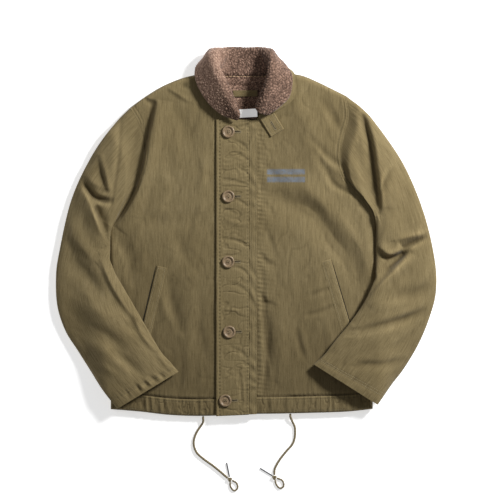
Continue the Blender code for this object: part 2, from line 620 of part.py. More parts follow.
def cloth_under(plan, top):
    """Function that gives the height just above a front at any point, from the front's own grid."""
    flat, height = plan.reshape(-1, 2), top.reshape(-1)

    def height_at(x, y):
        spots = np.stack([np.ravel(x), np.ravel(y)], axis=1)
        away = np.linalg.norm(flat[None, :, :] - spots[:, None, :], axis=2)
        nearest = np.argsort(away, axis=1)[:, :4]
        close = np.take_along_axis(away, nearest, axis=1)
        weight = 1 / (close + 1.0)
        return ((height[nearest] * weight).sum(1) / weight.sum(1)).reshape(np.shape(x)) + STRAP_GAP

    return height_at


def make_button(name, x, y, base):
    """A turned button with a raised rim and a sunk middle."""
    r, h = BUTTON_WIDTH / 2 * MM, BUTTON_HEIGHT * MM
    profile = [(0, 0.58), (0.4, 0.58), (0.52, 0.88), (0.8, 1), (0.97, 0.8), (1, 0.5), (0.8, 0), (0, 0)]
    steps = [(i, i + 1) for i in range(len(profile) - 1)]
    mesh = bpy.data.meshes.new(name)
    mesh.from_pydata([(r * a, 0, h * b) for a, b in profile], steps, [])
    mesh.materials.append(material("button_resin"))
    button = bpy.data.objects.new(name, mesh)
    button.location = (np.array([x, y, base]) + TO_ORIGIN) * MM
    jacket.objects.link(button)
    turn = button.modifiers.new("turn", "SCREW")
    turn.steps = turn.render_steps = 18
    turn.use_merge_vertices = True
    turn.merge_threshold = 0.00005
    turn.use_smooth_shade = True
    drill = button.modifiers.new("holes", "BOOLEAN")
    drill.operation = "DIFFERENCE"
    drill.object = hole_cutter(name, button.location)
    return button


def hole_cutter(name, location):
    """Four thread holes for one button, as one hidden cutter."""
    work = bmesh.new()
    for corner in range(4):
        angle = math.radians(45 + 90 * corner)
        r = HOLE_WIDTH / 2 * MM
        made = bmesh.ops.create_cone(work, cap_ends=True, segments=6, radius1=r, radius2=r, depth=0.02)
        away = (HOLE_AWAY * MM * math.cos(angle), HOLE_AWAY * MM * math.sin(angle), 0)
        bmesh.ops.translate(work, verts=made["verts"], vec=away)
    mesh = bpy.data.meshes.new(name + "_drill")
    work.to_mesh(mesh)
    work.free()
    cutter = bpy.data.objects.new(name + "_drill", mesh)
    cutter.location = location
    cutter.hide_render = True
    cutter.display_type = "WIRE"
    cutters.objects.link(cutter)
    return cutter


def add_cord(name, route, start_z, width, finish, points=30):
    """A round cord along a smooth route, which comes down from start_z to lie on the table."""
    line = smooth_line(route, points)
    along = walked(line)
    low = width / 2 + 0.1
    z = low + max(start_z - low, 0) * (1 - smooth_step(along, 0, CORD_FALL))
    curve = bpy.data.curves.new(name, "CURVE")
    curve.dimensions = "3D"
    curve.bevel_depth = width / 2 * MM
    curve.bevel_resolution = 2
    curve.use_fill_caps = True
    curve.materials.append(material(finish))
    spline = curve.splines.new("POLY")
    spline.points.add(len(line) - 1)
    for spot, (x, y), height in zip(spline.points, line, z):
        spot.co = (*((np.array([x, y, height]) + TO_ORIGIN) * MM), 1)
    cord = bpy.data.objects.new(name, curve)
    jacket.objects.link(cord)
    return cord


def make_knot(name, spot):
    """The overhand knot as a plain rounded lump, flattened where it lies on the table."""
    work = bmesh.new()
    bmesh.ops.create_uvsphere(work, u_segments=12, v_segments=8, radius=KNOT_WIDTH / 2 * MM)
    for v in work.verts:
        v.co.z = max(v.co.z, -0.004) + 0.0042
    mesh = bpy.data.meshes.new(name)
    work.to_mesh(mesh)
    work.free()
    mesh.shade_smooth()
    mesh.materials.append(material("cord_braid"))
    knot = bpy.data.objects.new(name, mesh)
    knot.location = (np.array([spot.x, spot.y, 0]) + TO_ORIGIN) * MM
    jacket.objects.link(knot)


def beside_knot(knot, angle, width):
    """The spot at this angle where the flat end of a cord of this width all but touches the knot."""
    away = KNOT_WIDTH / 2 + 0.03 * width + 0.15
    return Spot(knot.x + away * math.cos(math.radians(angle)), knot.y + away * math.sin(math.radians(angle)))


def make_drawcord(side, route, knot, loop, tip):
    start = Spot(route[0].x, hem_y(route[0].x) - 2 * GAP)
    end = beside_knot(knot, knot.cord_at, CORD_WIDTH)
    add_cord("drawcord_" + side, [start] + route + [end], FRONT_BASE - GAP / 2, CORD_WIDTH, "cord_braid")
    make_knot("knot_" + side, knot)
    ends = [beside_knot(knot, angle, LOOP_CORD_WIDTH) for angle in (knot.loop_out, knot.loop_back)]
    add_cord("loop_" + side, ends[:1] + loop + ends[1:], 0, LOOP_CORD_WIDTH, "cord_braid", 16)
    add_cord("tip_" + side, [beside_knot(knot, knot.tip_at, TIP_WIDTH), tip], 0, TIP_WIDTH, "cord_tip", 4)


def main():
    right_plan = front_plan(RIGHT_SIDE, RIGHT_ARMHOLE, RIGHT_SHOULDER, RIGHT_NECK, 0.0, 13)
    left_plan = front_plan(LEFT_SIDE, LEFT_ARMHOLE, LEFT_SHOULDER, LEFT_NECK, STRIP_RIGHT + GAP, 13)
    make_back()
    make_front("front_right", right_plan, RIGHT_FRONT_FOLDS, 0, FLAP_LEFT)
    make_front("front_left", left_plan, LEFT_FRONT_FOLDS, 20, STRIP_RIGHT)
    make_hem_band("hem_back", HEM_EDGE[0].x, HEM_EDGE[-1].x, 0, shares_with_rim(12, True, True))
    make_hem_band("hem_front_right", HEM_EDGE[0].x, 0, FRONT_BASE, np.linspace(0, 1, 36))
    make_hem_band("hem_front_left", STRIP_RIGHT + GAP, HEM_EDGE[-1].x, FRONT_BASE, np.linspace(0, 1, 32))
    make_flap()
    make_strip()
    make_sleeve("sleeve_right", RIGHT_SLEEVE, RIGHT_ARMHOLE, RIGHT_SLEEVE_FOLDS, -273)
    make_sleeve("sleeve_left", LEFT_SLEEVE, LEFT_ARMHOLE, LEFT_SLEEVE_FOLDS, 257)
    make_collar()
    make_lining()

    right_top = cloth_under(right_plan, front_height(right_plan, RIGHT_FRONT_FOLDS, 0, FLAP_LEFT))
    left_top = cloth_under(left_plan, front_height(left_plan, LEFT_FRONT_FOLDS, 20, STRIP_RIGHT))
    lining_top = BODY_WALL + GAP + LINING_WALL

    def on_lining(x, y):
        return np.full_like(x, lining_top + GAP)

    def arched(x, y):
        return on_lining(x, y) + HANGER_RISE * np.sin(math.pi * smooth_step(x, HANGER.x0, HANGER.x1))

    make_strap("welt_right", RIGHT_WELT, WELT_WALL, right_top, "shell_cloth", 12, 4)
    make_strap("welt_left", LEFT_WELT, WELT_WALL, left_top, "shell_cloth", 12, 4)
    make_strap("throat_latch", LATCH, LATCH_WALL, left_top, "shell_cloth", 8, 5)
    make_strap("neck_label", LABEL, LABEL_WALL, on_lining, "white_label", 6, 4)
    make_strap("hanger_loop", HANGER, HANGER_WALL, arched, "shell_cloth", 9, 4)

    for number, spot in enumerate(BUTTONS, 1):
        base = FLAP_BASE + FLAP_WALL + flap_wave(spot.x, spot.y) + BUTTON_GAP
        make_button(f"button_{number}", spot.x, spot.y, base)
    make_drawcord("right", RIGHT_CORD, RIGHT_KNOT, RIGHT_LOOP, RIGHT_TIP)
    make_drawcord("left", LEFT_CORD, LEFT_KNOT, LEFT_LOOP, LEFT_TIP)


for old in list(bpy.data.objects):
    bpy.data.objects.remove(old, do_unlink=True)
jacket = bpy.data.collections.new("deck_jacket")
cutters = bpy.data.collections.new("cutters")
for group in (jacket, cutters):
    bpy.context.scene.collection.children.link(group)
main()
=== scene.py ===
import math

import bpy
import numpy as np
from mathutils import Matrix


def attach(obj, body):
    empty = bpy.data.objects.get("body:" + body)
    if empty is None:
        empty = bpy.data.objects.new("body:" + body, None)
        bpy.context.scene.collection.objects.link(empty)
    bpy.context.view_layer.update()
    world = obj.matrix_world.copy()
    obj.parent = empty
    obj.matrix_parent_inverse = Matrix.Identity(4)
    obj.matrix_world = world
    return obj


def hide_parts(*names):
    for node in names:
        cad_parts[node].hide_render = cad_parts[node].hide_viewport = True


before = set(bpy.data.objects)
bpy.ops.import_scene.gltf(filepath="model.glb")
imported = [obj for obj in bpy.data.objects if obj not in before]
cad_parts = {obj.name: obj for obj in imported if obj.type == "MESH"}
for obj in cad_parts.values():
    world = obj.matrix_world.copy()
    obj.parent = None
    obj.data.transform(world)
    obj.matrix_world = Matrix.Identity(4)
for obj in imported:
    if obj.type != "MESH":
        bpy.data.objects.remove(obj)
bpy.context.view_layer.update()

# Lengths are millimetres on the table, and become metres as a mesh is made.
# +X is the viewer's right, +Y runs from the hem to the collar, and the table is at Z = 0.
middleAt = np.array([0.7, 6.1, 0.0])
metre = 0.001
seam = 0.3
bodyWall = 8.0
seamLip = 1.6
edgeRound = 11.0
hemBand = 34.0
frontBase = bodyWall + seam
frontTop = frontBase + bodyWall
flapBase = frontTop + seam
stripLeft, stripRight = 5.3, 20.3


# ---- shapes shared by all the pieces
def curveThrough(points, shares):
    """A Catmull-Rom curve through the points, read at these shares of its length (or at that many even ones)."""
    knots = np.array(points, float)
    padded = np.vstack([2 * knots[0] - knots[1], knots, 2 * knots[-1] - knots[-2]])
    t = np.linspace(0, 1, 24, endpoint=False)[:, None, None]
    a, b, c, d = padded[:-3], padded[1:-2], padded[2:-1], padded[3:]
    bend = (2 * a - 5 * b + 4 * c - d) * t**2 + (3 * b - a - 3 * c + d) * t**3
    fine = (b + 0.5 * ((c - a) * t + bend)).transpose(1, 0, 2).reshape(-1, knots.shape[1])
    fine = np.vstack([fine, knots[-1:]])
    along = lengthAlong(fine[:, :3])
    at = np.asarray(shares) * along[-1] if np.ndim(shares) else np.linspace(0, along[-1], shares)
    return np.stack([np.interp(at, along, fine[:, k]) for k in range(fine.shape[1])], axis=1)


def lengthAlong(line):
    # running sum of the steps between neighbouring points
    return np.concatenate([[0], np.cumsum(np.linalg.norm(np.diff(line, axis=0), axis=1))])


def rounded(distance, reach):
    # a quarter ellipse that rises from 0 at an edge to 1 at reach
    near = np.clip(distance / reach, 0, 1)
    return np.sqrt(1 - (1 - near) ** 2)


def smoothStep(x, low, high):
    t = np.clip((x - low) / (high - low), 0, 1)
    return t * t * (3 - 2 * t)


def bell(distance, width):
    return np.exp(-((distance / width) ** 2))


def foldHeight(x, y, folds):
    """A bell across each fold, tapered along it. Rows are x0, y0, x1, y1, bow, left width, right width, height."""
    total = np.zeros_like(x)
    for x0, y0, x1, y1, bow, left, right, height in folds:
        length = math.hypot(x1 - x0, y1 - y0)
        runX, runY = (x1 - x0) / length, (y1 - y0) / length
        t = ((x - x0) * runX + (y - y0) * runY) / length
        inside = np.clip(t, 0, 1)
        away = (y - y0) * runX - (x - x0) * runY - bow * np.sin(math.pi * inside)
        beyond = (np.abs(t - 0.5) - 0.5).clip(0) * length
        taper = np.sqrt(np.sin(math.pi * (0.06 + 0.88 * inside)))
        total += height * taper * bell(away, np.where(away > 0, left, right)) * bell(beyond, min(12, length / 3))
    return total


def drape(x, y, rows):
    # Each row is a path, a width on its left, one on its right and a height. Across the path the cloth is a bell,
    # and beyond the narrow side it swings the other way before it comes back, as a fold pushed over does.
    total = np.zeros_like(x)
    for path, left, right, height in rows:
        line = curveThrough(path, 22)
        narrow, wide = min(left, right), max(left, right)
        reach = 3.2 * wide
        first, last = line.min(0) - reach, line.max(0) + reach
        inside = (x > first[0]) & (x < last[0]) & (y > first[1]) & (y < last[1])
        px, py = x[inside], y[inside]
        nearest = np.full(px.shape, 1e9)
        away, share = np.zeros_like(px), np.zeros_like(px)
        for k in range(len(line) - 1):
            run = line[k + 1] - line[k]
            t = np.clip(((px - line[k, 0]) * run[0] + (py - line[k, 1]) * run[1]) / (run @ run), 0, 1)
            dx, dy = px - line[k, 0] - t * run[0], py - line[k, 1] - t * run[1]
            far = np.hypot(dx, dy)
            closer = far < nearest
            nearest = np.where(closer, far, nearest)
            away = np.where(closer, np.copysign(far, run[0] * dy - run[1] * dx), away)
            share = np.where(closer, (k + t) / (len(line) - 1), share)
        toNarrow = away if left < right else -away
        swing = 0.6 * (1 - narrow / wide) * bell(toNarrow - 2.0 * narrow, 1.2 * narrow)
        low, high = (0.0, 1.0) if wide > 2 * narrow else (0.05, 0.9)
        taper = np.sqrt(np.sin(math.pi * (low + high * share)).clip(0))
        total[inside] += height * taper * (bell(away, np.where(away > 0, left, right)) - swing)
    return total


def softNoise(x, y, seed):
    # random heights on a unit lattice, blended with smooth steps between its corners
    heights = np.random.default_rng(seed).uniform(-1, 1, (64, 64))
    i, j = np.floor(x).astype(int), np.floor(y).astype(int)
    fx, fy = x - i, y - j
    fx, fy = fx * fx * (3 - 2 * fx), fy * fy * (3 - 2 * fy)
    low = heights[i % 64, j % 64] * (1 - fx) + heights[(i + 1) % 64, j % 64] * fx
    high = heights[i % 64, (j + 1) % 64] * (1 - fx) + heights[(i + 1) % 64, (j + 1) % 64] * fx
    return low * (1 - fy) + high * fy


def rumple(across, along, seed):
    # soft waves longer along the cloth than across it, bent by a slower wave
    bent = across + 9 * softNoise(along / 70, across / 90, seed)
    slow = 0.9 * softNoise(bent / 34, along / 62, seed + 1)
    return slow + 0.42 * softNoise(bent / 13, along / 30, seed + 2) + 0.16 * softNoise(bent / 6, along / 13, seed + 3)


def wrinkles(across, along, seed):
    # thin creases along the lines where a noise passes through zero, stronger in some places than in others
    field = softNoise(across, along, seed) + 0.45 * softNoise(across * 2.3, along * 2.3, seed + 1)
    return -np.exp(-((field / 0.15) ** 2)) * (0.55 + 0.45 * softNoise(across * 0.9 + 3, along * 0.9, seed + 2))


def pucker(along, away, reach, seed, pitch=6.5):
    # ripples that run away from a seam: a sine along it with a wandering pitch, fading over reach
    phase = along / pitch * 2 * math.pi + 3.0 * softNoise(along / 23, 0 * along, seed)
    strength = 0.55 + 0.45 * softNoise(along / 31, 0 * along + 3.3, seed + 1)
    return np.sin(phase + away / 9) * strength * np.exp(-np.abs(away) / reach)


def gridNormals(grid):
    # cross product of the steps along rows and columns, at unit length
    n = np.cross(np.gradient(grid, axis=1), np.gradient(grid, axis=0))
    return n / np.maximum(np.linalg.norm(n, axis=2, keepdims=True), 1e-9)


def crests(height, passes=10):
    # how far each point stands over the mean of the cloth round it
    flat = height
    for _ in range(passes):
        wide = np.pad(flat, 1, mode="edge")
        flat = (wide[:-2, 1:-1] + wide[2:, 1:-1] + wide[1:-1, :-2] + wide[1:-1, 2:] + flat) / 5
    return height - flat


def curls(points, size, seed):
    """Pile curls: each point's height is a dome over the nearest of the jittered centres, one for each cube of space."""
    x, y, z = (points[..., k] / size * 0.8 for k in range(3))
    points = points + 0.75 * size * np.stack([softNoise(y, z, seed + 31), softNoise(z + 5, x, seed + 32), softNoise(x + 9, y, seed + 33)], -1)
    cells = np.floor(points / size).astype(int)
    nearest = np.full(points.shape[:-1], 9.0)
    second = nearest.copy()
    jitter = np.random.default_rng(seed).uniform(0.12, 0.88, (17, 17, 17, 3))
    for step in np.ndindex(3, 3, 3):
        cell = cells + np.array(step) - 1
        centre = cell + jitter[cell[..., 0] % 17, cell[..., 1] % 17, cell[..., 2] % 17]
        away = np.linalg.norm(points / size - centre, axis=-1)
        second = np.minimum(second, np.maximum(nearest, away))
        nearest = np.minimum(nearest, away)
    return np.sqrt(np.clip(second - nearest, 0, 0.8) / 0.8)


# ---- meshes
madeAs = {
    "shell_cloth": "_cloth",
    "collar_pile": "_pile",
    "white_label": "_woven",
    "cord_braid": "_braided",
    "cord_tip": "_crimped",
}


def outward(points, faces):
    # reverses every face if the signed volume of the closed shell is below 0
    volume = 0.0
    for block in faces:
        corner = points[block]
        for k in range(1, block.shape[1] - 1):
            volume += np.einsum("ij,ij->", corner[:, 0], np.cross(corner[:, k], corner[:, k + 1]))
    return faces if volume > 0 else [block[:, ::-1] for block in faces]


def addPiece(name, points, faces, finish, replaces=(), slot=None, uv=None, toneWearAndShade=None):
    """One piece at the origin, from whole arrays. faces is a list of index arrays, one for each count of corners."""
    faces = [np.asarray(block) for block in faces if len(block)]
    faces = outward(points, faces)
    corners = np.concatenate([block.ravel() for block in faces]).astype(np.int32)
    counts = np.concatenate([np.full(len(block), block.shape[1]) for block in faces])
    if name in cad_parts:
        name += madeAs[slot]
    mesh = bpy.data.meshes.new(name)
    mesh.vertices.add(len(points))
    mesh.vertices.foreach_set("co", ((points + middleAt) * metre).astype(np.float32).ravel())
    mesh.loops.add(len(corners))
    mesh.loops.foreach_set("vertex_index", corners)
    mesh.polygons.add(len(counts))
    mesh.polygons.foreach_set("loop_start", np.concatenate([[0], np.cumsum(counts)[:-1]]).astype(np.int32))
    mesh.update(calc_edges=True)
    mesh.validate()
    if uv is not None:
        layer = mesh.uv_layers.new(name="cloth")
        layer.data.foreach_set("uv", (uv[corners] * metre).astype(np.float32).ravel())
    if toneWearAndShade is not None:
        mesh.attributes.new("toneWearAndShade", "FLOAT", "POINT").data.foreach_set("value", toneWearAndShade.astype(np.float32).ravel())
    mesh.shade_smooth()
    mesh.set_sharp_from_angle(angle=math.radians(60))
    mesh.materials.append(finish)
    piece = bpy.data.objects.new(name, mesh)
    bpy.context.scene.collection.objects.link(piece)
    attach(piece, "root")
    if replaces:
        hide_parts(*replaces)
    return piece


def quads(index, wrap=False):
    # one quad between each two neighbouring rows and columns of a grid of point numbers
    if wrap:
        index = np.concatenate([index, index[:, :1]], axis=1)
    return np.stack([index[:-1, :-1], index[:-1, 1:], index[1:, 1:], index[1:, :-1]], axis=-1).reshape(-1, 4)


def evenly(count, step):
    return np.unique(np.append(np.arange(0, count, step), count - 1))


def closedPanel(top, bottom, step):
    """Points and faces of a wall: the fine top, every step-th row and column of the bottom, and faces round the border."""
    rows, columns = top.shape[:2]
    index = np.arange(rows * columns).reshape(rows, columns)
    keepRows, keepColumns = evenly(rows, step), evenly(columns, step)
    low = bottom[np.ix_(keepRows, keepColumns)]
    under = np.arange(low.shape[0] * low.shape[1]).reshape(low.shape[:2]) + rows * columns
    sides = {}
    for line, below, kept in (
        (index[0], under[0], keepColumns), (index[-1][::-1], under[-1][::-1], columns - 1 - keepColumns[::-1]),
        (index[:, -1], under[:, -1], keepRows), (index[::-1, 0], under[::-1, 0], rows - 1 - keepRows[::-1]),
    ):
        for k in range(len(kept) - 1):
            run = line[kept[k] : kept[k + 1] + 1]
            face = np.concatenate([run[::-1], below[[k, k + 1]]])
            sides.setdefault(len(face), []).append(face)
    faces = [quads(index), quads(under)[:, ::-1]] + [np.array(block) for block in sides.values()]
    return np.vstack([top.reshape(-1, 3), low.reshape(-1, 3)]), faces


def closedTube(outer, inner):
    """Points and faces of a tube's wall: outer rings, inner rings with as many points round, joined at both mouths."""
    rings, count = outer.shape[:2]
    index = np.arange(rings * count).reshape(rings, count)
    inside = np.arange(inner.shape[0] * count).reshape(-1, count) + rings * count
    faces = [quads(index, True), quads(inside, True)[:, ::-1]]
    faces += [quads(np.stack([inside[0], index[0]]), True), quads(np.stack([index[-1], inside[-1]]), True)]
    return np.vstack([outer.reshape(-1, 3), inner.reshape(-1, 3)]), [np.vstack(faces)]


def seatOn(grid, cell=2.0):
    """Height and slope of a grid of points at any x, y: the nearest point's own, carried on by its slope."""
    flat = grid.reshape(-1, 3)
    stepU, stepV = (np.gradient(grid, axis=k).reshape(-1, 3) for k in (0, 1))
    area = stepU[:, 0] * stepV[:, 1] - stepU[:, 1] * stepV[:, 0]
    area = np.where(np.abs(area) < 1e-3, 1e-3, area)
    slopeX = (stepU[:, 2] * stepV[:, 1] - stepU[:, 1] * stepV[:, 2]) / area
    slopeY = (stepU[:, 0] * stepV[:, 2] - stepU[:, 2] * stepV[:, 0]) / area
    low = flat[:, :2].min(0) - 3 * cell
    size = ((flat[:, :2].max(0) - low) / cell).astype(int) + 4
    nearest = np.full(size, -1)
    spot = ((flat[:, :2] - low) / cell).astype(int)
    nearest[spot[:, 0], spot[:, 1]] = np.arange(len(flat))
    for _ in range(6):  # fills the empty cells from their neighbours
        for shift in ((1, 0), (-1, 0), (0, 1), (0, -1)):
            nearest = np.where(nearest < 0, np.roll(nearest, shift, (0, 1)), nearest)

    def heightAt(x, y):
        at = np.clip(((np.stack([x, y], -1) - low) / cell).astype(int), 0, size - 1)
        k = nearest[at[..., 0], at[..., 1]].clip(0)
        sx, sy = slopeX[k].clip(-1.5, 1.5), slopeY[k].clip(-1.5, 1.5)
        return flat[k, 2] + (x - flat[k, 0]) * sx + (y - flat[k, 1]) * sy

    return heightAt


# ---- materials
def newMaterial(name):
    material = bpy.data.materials.new(name)
    material.use_nodes = True
    nodes, links = material.node_tree.nodes, material.node_tree.links

    def node(kind, inputs=None, **settings):
        made = nodes.new("ShaderNode" + kind)
        for key, value in settings.items():
            setattr(made, key, value)
        for key, value in (inputs or {}).items():
            if isinstance(value, bpy.types.NodeSocket):
                links.new(value, made.inputs[key])
            else:
                made.inputs[key].default_value = value
        return made

    return material, nodes["Principled BSDF"], node, links


def mixColours(node, factor, a, b, blend="MIX"):
    made = node("Mix", data_type="RGBA", blend_type=blend)
    tree = made.id_data
    for socket, value in ((made.inputs[0], factor), (made.inputs[6], a), (made.inputs[7], b)):
        if isinstance(value, bpy.types.NodeSocket):
            tree.links.new(value, socket)
        else:
            socket.default_value = value
    return made.outputs[2]


def ramp(node, value, stops):
    made = node("ValToRGB", {"Fac": value})
    while len(made.color_ramp.elements) < len(stops):
        made.color_ramp.elements.new(0.5)
    for element, (at, colour) in zip(made.color_ramp.elements, stops):
        element.position = at
        element.color = colour if len(colour) == 4 else (*colour, 1)
    return made.outputs["Color"]


cloth = {
    "light": (0.262, 0.206, 0.105),
    "mid": (0.205, 0.158, 0.074),
    "dark": (0.120, 0.090, 0.040),
    "ribsPerMetre": 850,
    "roughness": 0.86,
}


def clothMaterial(name, settings, printed=False):
    """Corded cotton: ribs along the grain as a wave in the cloth's own UVs, streaks of dye along them, and a tone
    attribute that is wear on crests, painted shade in creases and painted light in some places.
    """
    material, shader, node, links = newMaterial(name)
    uv = node("UVMap", uv_map="cloth").outputs["UV"]
    place = node("TexCoord").outputs["Object"]
    streakAt = node("Mapping", {"Vector": uv, "Scale": (520, 34, 1)}).outputs["Vector"]
    fineAt = node("Mapping", {"Vector": uv, "Scale": (1500, 260, 1)}).outputs["Vector"]
    streak = node("TexNoise", {"Vector": streakAt, "Scale": 1.0, "Detail": 3.0, "Roughness": 0.6}).outputs["Fac"]
    fine = node("TexNoise", {"Vector": fineAt, "Scale": 1.0, "Detail": 2.0}).outputs["Fac"]
    cloud = node("TexNoise", {"Vector": place, "Scale": 7.0, "Detail": 3.0}).outputs["Fac"]
    toneWearAndShade = node("Attribute", attribute_name="toneWearAndShade").outputs["Fac"]
    tone = ramp(node, streak, [(0.30, settings["dark"]), (0.47, settings["mid"]), (0.70, settings["light"])])
    tone = mixColours(node, 0.70, (*settings["mid"], 1), tone)
    tone = mixColours(node, 0.35, tone, ramp(node, fine, [(0.32, (0.55, 0.53, 0.5)), (0.68, (1.25, 1.25, 1.25))]), "MULTIPLY")
    tone = mixColours(node, 0.7, tone, ramp(node, cloud, [(0.35, (0.88, 0.86, 0.82)), (0.65, (1.08, 1.08, 1.1))]), "MULTIPLY")
    # the attribute lightens worn crests, darkens the cloth where shade is painted and lightens it where light is
    # painted
    wearAndShadeLevel = node("MapRange", {"Value": toneWearAndShade, "From Min": -1.0, "From Max": 1.0, "To Min": 0.0, "To Max": 1.0}).outputs[0]
    shade = ramp(node, wearAndShadeLevel, [(0.0, (0.55, 0.53, 0.50)), (0.5, (1, 1, 1)), (1.0, (1.42, 1.42, 1.45))])
    tone = mixColours(node, 1.0, tone, shade, "MULTIPLY")
    if printed:
        ink = node("Attribute", attribute_name="ink").outputs["Fac"]
        patchy = ramp(node, fine, [(0.30, (0.35, 0.35, 0.35)), (0.62, (1, 1, 1))])
        much = node("Math", {0: ink, 1: patchy}, operation="MULTIPLY").outputs[0]
        tone = mixColours(node, much, tone, (0.150, 0.190, 0.250, 1))
    links.new(tone, shader.inputs["Base Color"])
    rib = node("TexWave", {"Vector": uv, "Scale": settings["ribsPerMetre"] / 6.2832 * 2, "Distortion": 0.6, "Detail": 1.0},
               bands_direction="X").outputs["Fac"]
    both = node("Math", {0: rib, 1: fine}, operation="MULTIPLY_ADD")
    both.inputs[2].default_value = 0.0
    lift = node("Math", {0: both.outputs[0], 1: streak}, operation="ADD").outputs[0]
    bump = node("Bump", {"Height": lift, "Strength": 0.35, "Distance": 0.0006})
    links.new(bump.outputs["Normal"], shader.inputs["Normal"])
    shader.inputs["Roughness"].default_value = settings["roughness"]
    shader.inputs["Sheen Weight"].default_value = 0.12
    shader.inputs["Sheen Roughness"].default_value = 0.5
    shader.inputs["Specular IOR Level"].default_value = 0.2
    return material


pile = {"light": (0.455, 0.300, 0.222), "mid": (0.235, 0.147, 0.106), "dark": (0.060, 0.036, 0.026)}


def pileMaterial(name, settings, paintedLightScale=1.0):
    """Curled pile: light tips and dark roots from the curl attribute, the dark of the roots being painted shade between
    the curls, with a fine twist of noise in the bump.
    """
    material, shader, node, links = newMaterial(name)
    place = node("TexCoord").outputs["Object"]
    curl = node("Attribute", attribute_name="toneWearAndShade").outputs["Fac"]
    twist = node("TexNoise", {"Vector": place, "Scale": 520.0, "Detail": 4.0, "Roughness": 0.65, "Distortion": 1.2}).outputs["Fac"]
    cloud = node("TexNoise", {"Vector": place, "Scale": 38.0, "Detail": 2.0}).outputs["Fac"]
    height = node("Math", {0: curl, 1: twist}, operation="ADD").outputs[0]
    half = node("Math", {0: height, 1: 0.5}, operation="MULTIPLY").outputs[0]
    light, mid, dark = ([c * paintedLightScale for c in settings[key]] for key in ("light", "mid", "dark"))
    tone = ramp(node, half, [(0.36, dark), (0.56, mid), (0.78, light)])
    tone = mixColours(node, 0.6, tone, ramp(node, cloud, [(0.35, (0.86, 0.84, 0.84)), (0.65, (1.12, 1.12, 1.12))]), "MULTIPLY")
    links.new(tone, shader.inputs["Base Color"])
    bump = node("Bump", {"Height": twist, "Strength": 0.5, "Distance": 0.001})
    links.new(bump.outputs["Normal"], shader.inputs["Normal"])
    shader.inputs["Roughness"].default_value = 0.95
    shader.inputs["Sheen Weight"].default_value = 0.35
    shader.inputs["Sheen Roughness"].default_value = 0.4
    shader.inputs["Specular IOR Level"].default_value = 0.1
    return material


def plainMaterial(name, low, high, scale, roughness, bumpHeight, sheen=0.0, specular=0.4):
    # two tones mixed by noise on object coordinates, which also makes the bump
    material, shader, node, links = newMaterial(name)
    place = node("TexCoord").outputs["Object"]
    grain = node("TexNoise", {"Vector": place, "Scale": scale, "Detail": 4.0, "Roughness": 0.6}).outputs["Fac"]
    links.new(ramp(node, grain, [(0.35, low), (0.65, high)]), shader.inputs["Base Color"])
    bump = node("Bump", {"Height": grain, "Strength": 0.4, "Distance": bumpHeight})
    links.new(bump.outputs["Normal"], shader.inputs["Normal"])
    shader.inputs["Roughness"].default_value = roughness
    shader.inputs["Sheen Weight"].default_value = sheen
    shader.inputs["Specular IOR Level"].default_value = specular
    return material


def braidMaterial(name):
    # light strands over dark gaps, both from the strand attribute of the cord's own mesh; the dark of the gaps is
    # painted shade between the strands
    material, shader, node, links = newMaterial(name)
    strand = node("Attribute", attribute_name="toneWearAndShade").outputs["Fac"]
    place = node("TexCoord").outputs["Object"]
    fuzz = node("TexNoise", {"Vector": place, "Scale": 1400.0, "Detail": 3.0}).outputs["Fac"]
    tone = ramp(node, strand, [(0.05, (0.055, 0.042, 0.020)), (0.5, (0.180, 0.140, 0.070)), (0.95, (0.285, 0.230, 0.130))])
    tone = mixColours(node, 0.5, tone, ramp(node, fuzz, [(0.35, (0.7, 0.7, 0.7)), (0.65, (1.2, 1.2, 1.2))]), "MULTIPLY")
    links.new(tone, shader.inputs["Base Color"])
    bump = node("Bump", {"Height": fuzz, "Strength": 0.5, "Distance": 0.0004})
    links.new(bump.outputs["Normal"], shader.inputs["Normal"])
    shader.inputs["Roughness"].default_value = 0.85
    shader.inputs["Sheen Weight"].default_value = 0.15
    return material


print("materials")
shellCloth = clothMaterial("olive_corded_cotton", cloth)
printedCloth = clothMaterial("olive_corded_cotton_printed", cloth, printed=True)
collarPile = pileMaterial("brown_curled_pile", pile)
# the lining pile is a lighter copy of the same pile, painted light that offsets the shade it lies in inside the neck
liningPile = pileMaterial("brown_lining_pile", pile, paintedLightScale=1.25)
threadFinish = plainMaterial("olive_thread", (0.150, 0.118, 0.055), (0.230, 0.185, 0.095), 900, 0.7, 0.0002, 0.1)
paleThread = plainMaterial("pale_thread", (0.270, 0.220, 0.120), (0.360, 0.300, 0.180), 900, 0.7, 0.0002, 0.1)
holeThread = plainMaterial("buttonhole_thread", (0.165, 0.128, 0.062), (0.250, 0.198, 0.105), 900, 0.7, 0.0002, 0.1)
neckThread = plainMaterial("tan_thread", (0.42, 0.280, 0.160), (0.54, 0.370, 0.230), 900, 0.7, 0.0002, 0.1)
buttonResin = plainMaterial("urea_button", (0.205, 0.142, 0.078), (0.300, 0.215, 0.130), 260, 0.38, 0.00008, 0.0, 0.5)
labelCloth = plainMaterial("white_woven_label_painted_glow", (0.86, 0.85, 0.83), (0.95, 0.95, 0.93), 700, 0.75, 0.0002, 0.1)
# painted light: the label glows a little, so it reads bright in the shade of the collar
labelShader = labelCloth.node_tree.nodes["Principled BSDF"]
labelShader.inputs["Emission Color"].default_value = (1, 1, 1, 1)
labelShader.inputs["Emission Strength"].default_value = 0.34
cordBraid = braidMaterial("olive_braid")
cordTip = plainMaterial("blackened_tip", (0.025, 0.027, 0.033), (0.060, 0.062, 0.070), 500, 0.42, 0.0001, 0.0, 0.5)
slitPaintedShadow = plainMaterial("slit_shadow", (0.018, 0.014, 0.008), (0.030, 0.024, 0.014), 400, 0.95, 0.0001)


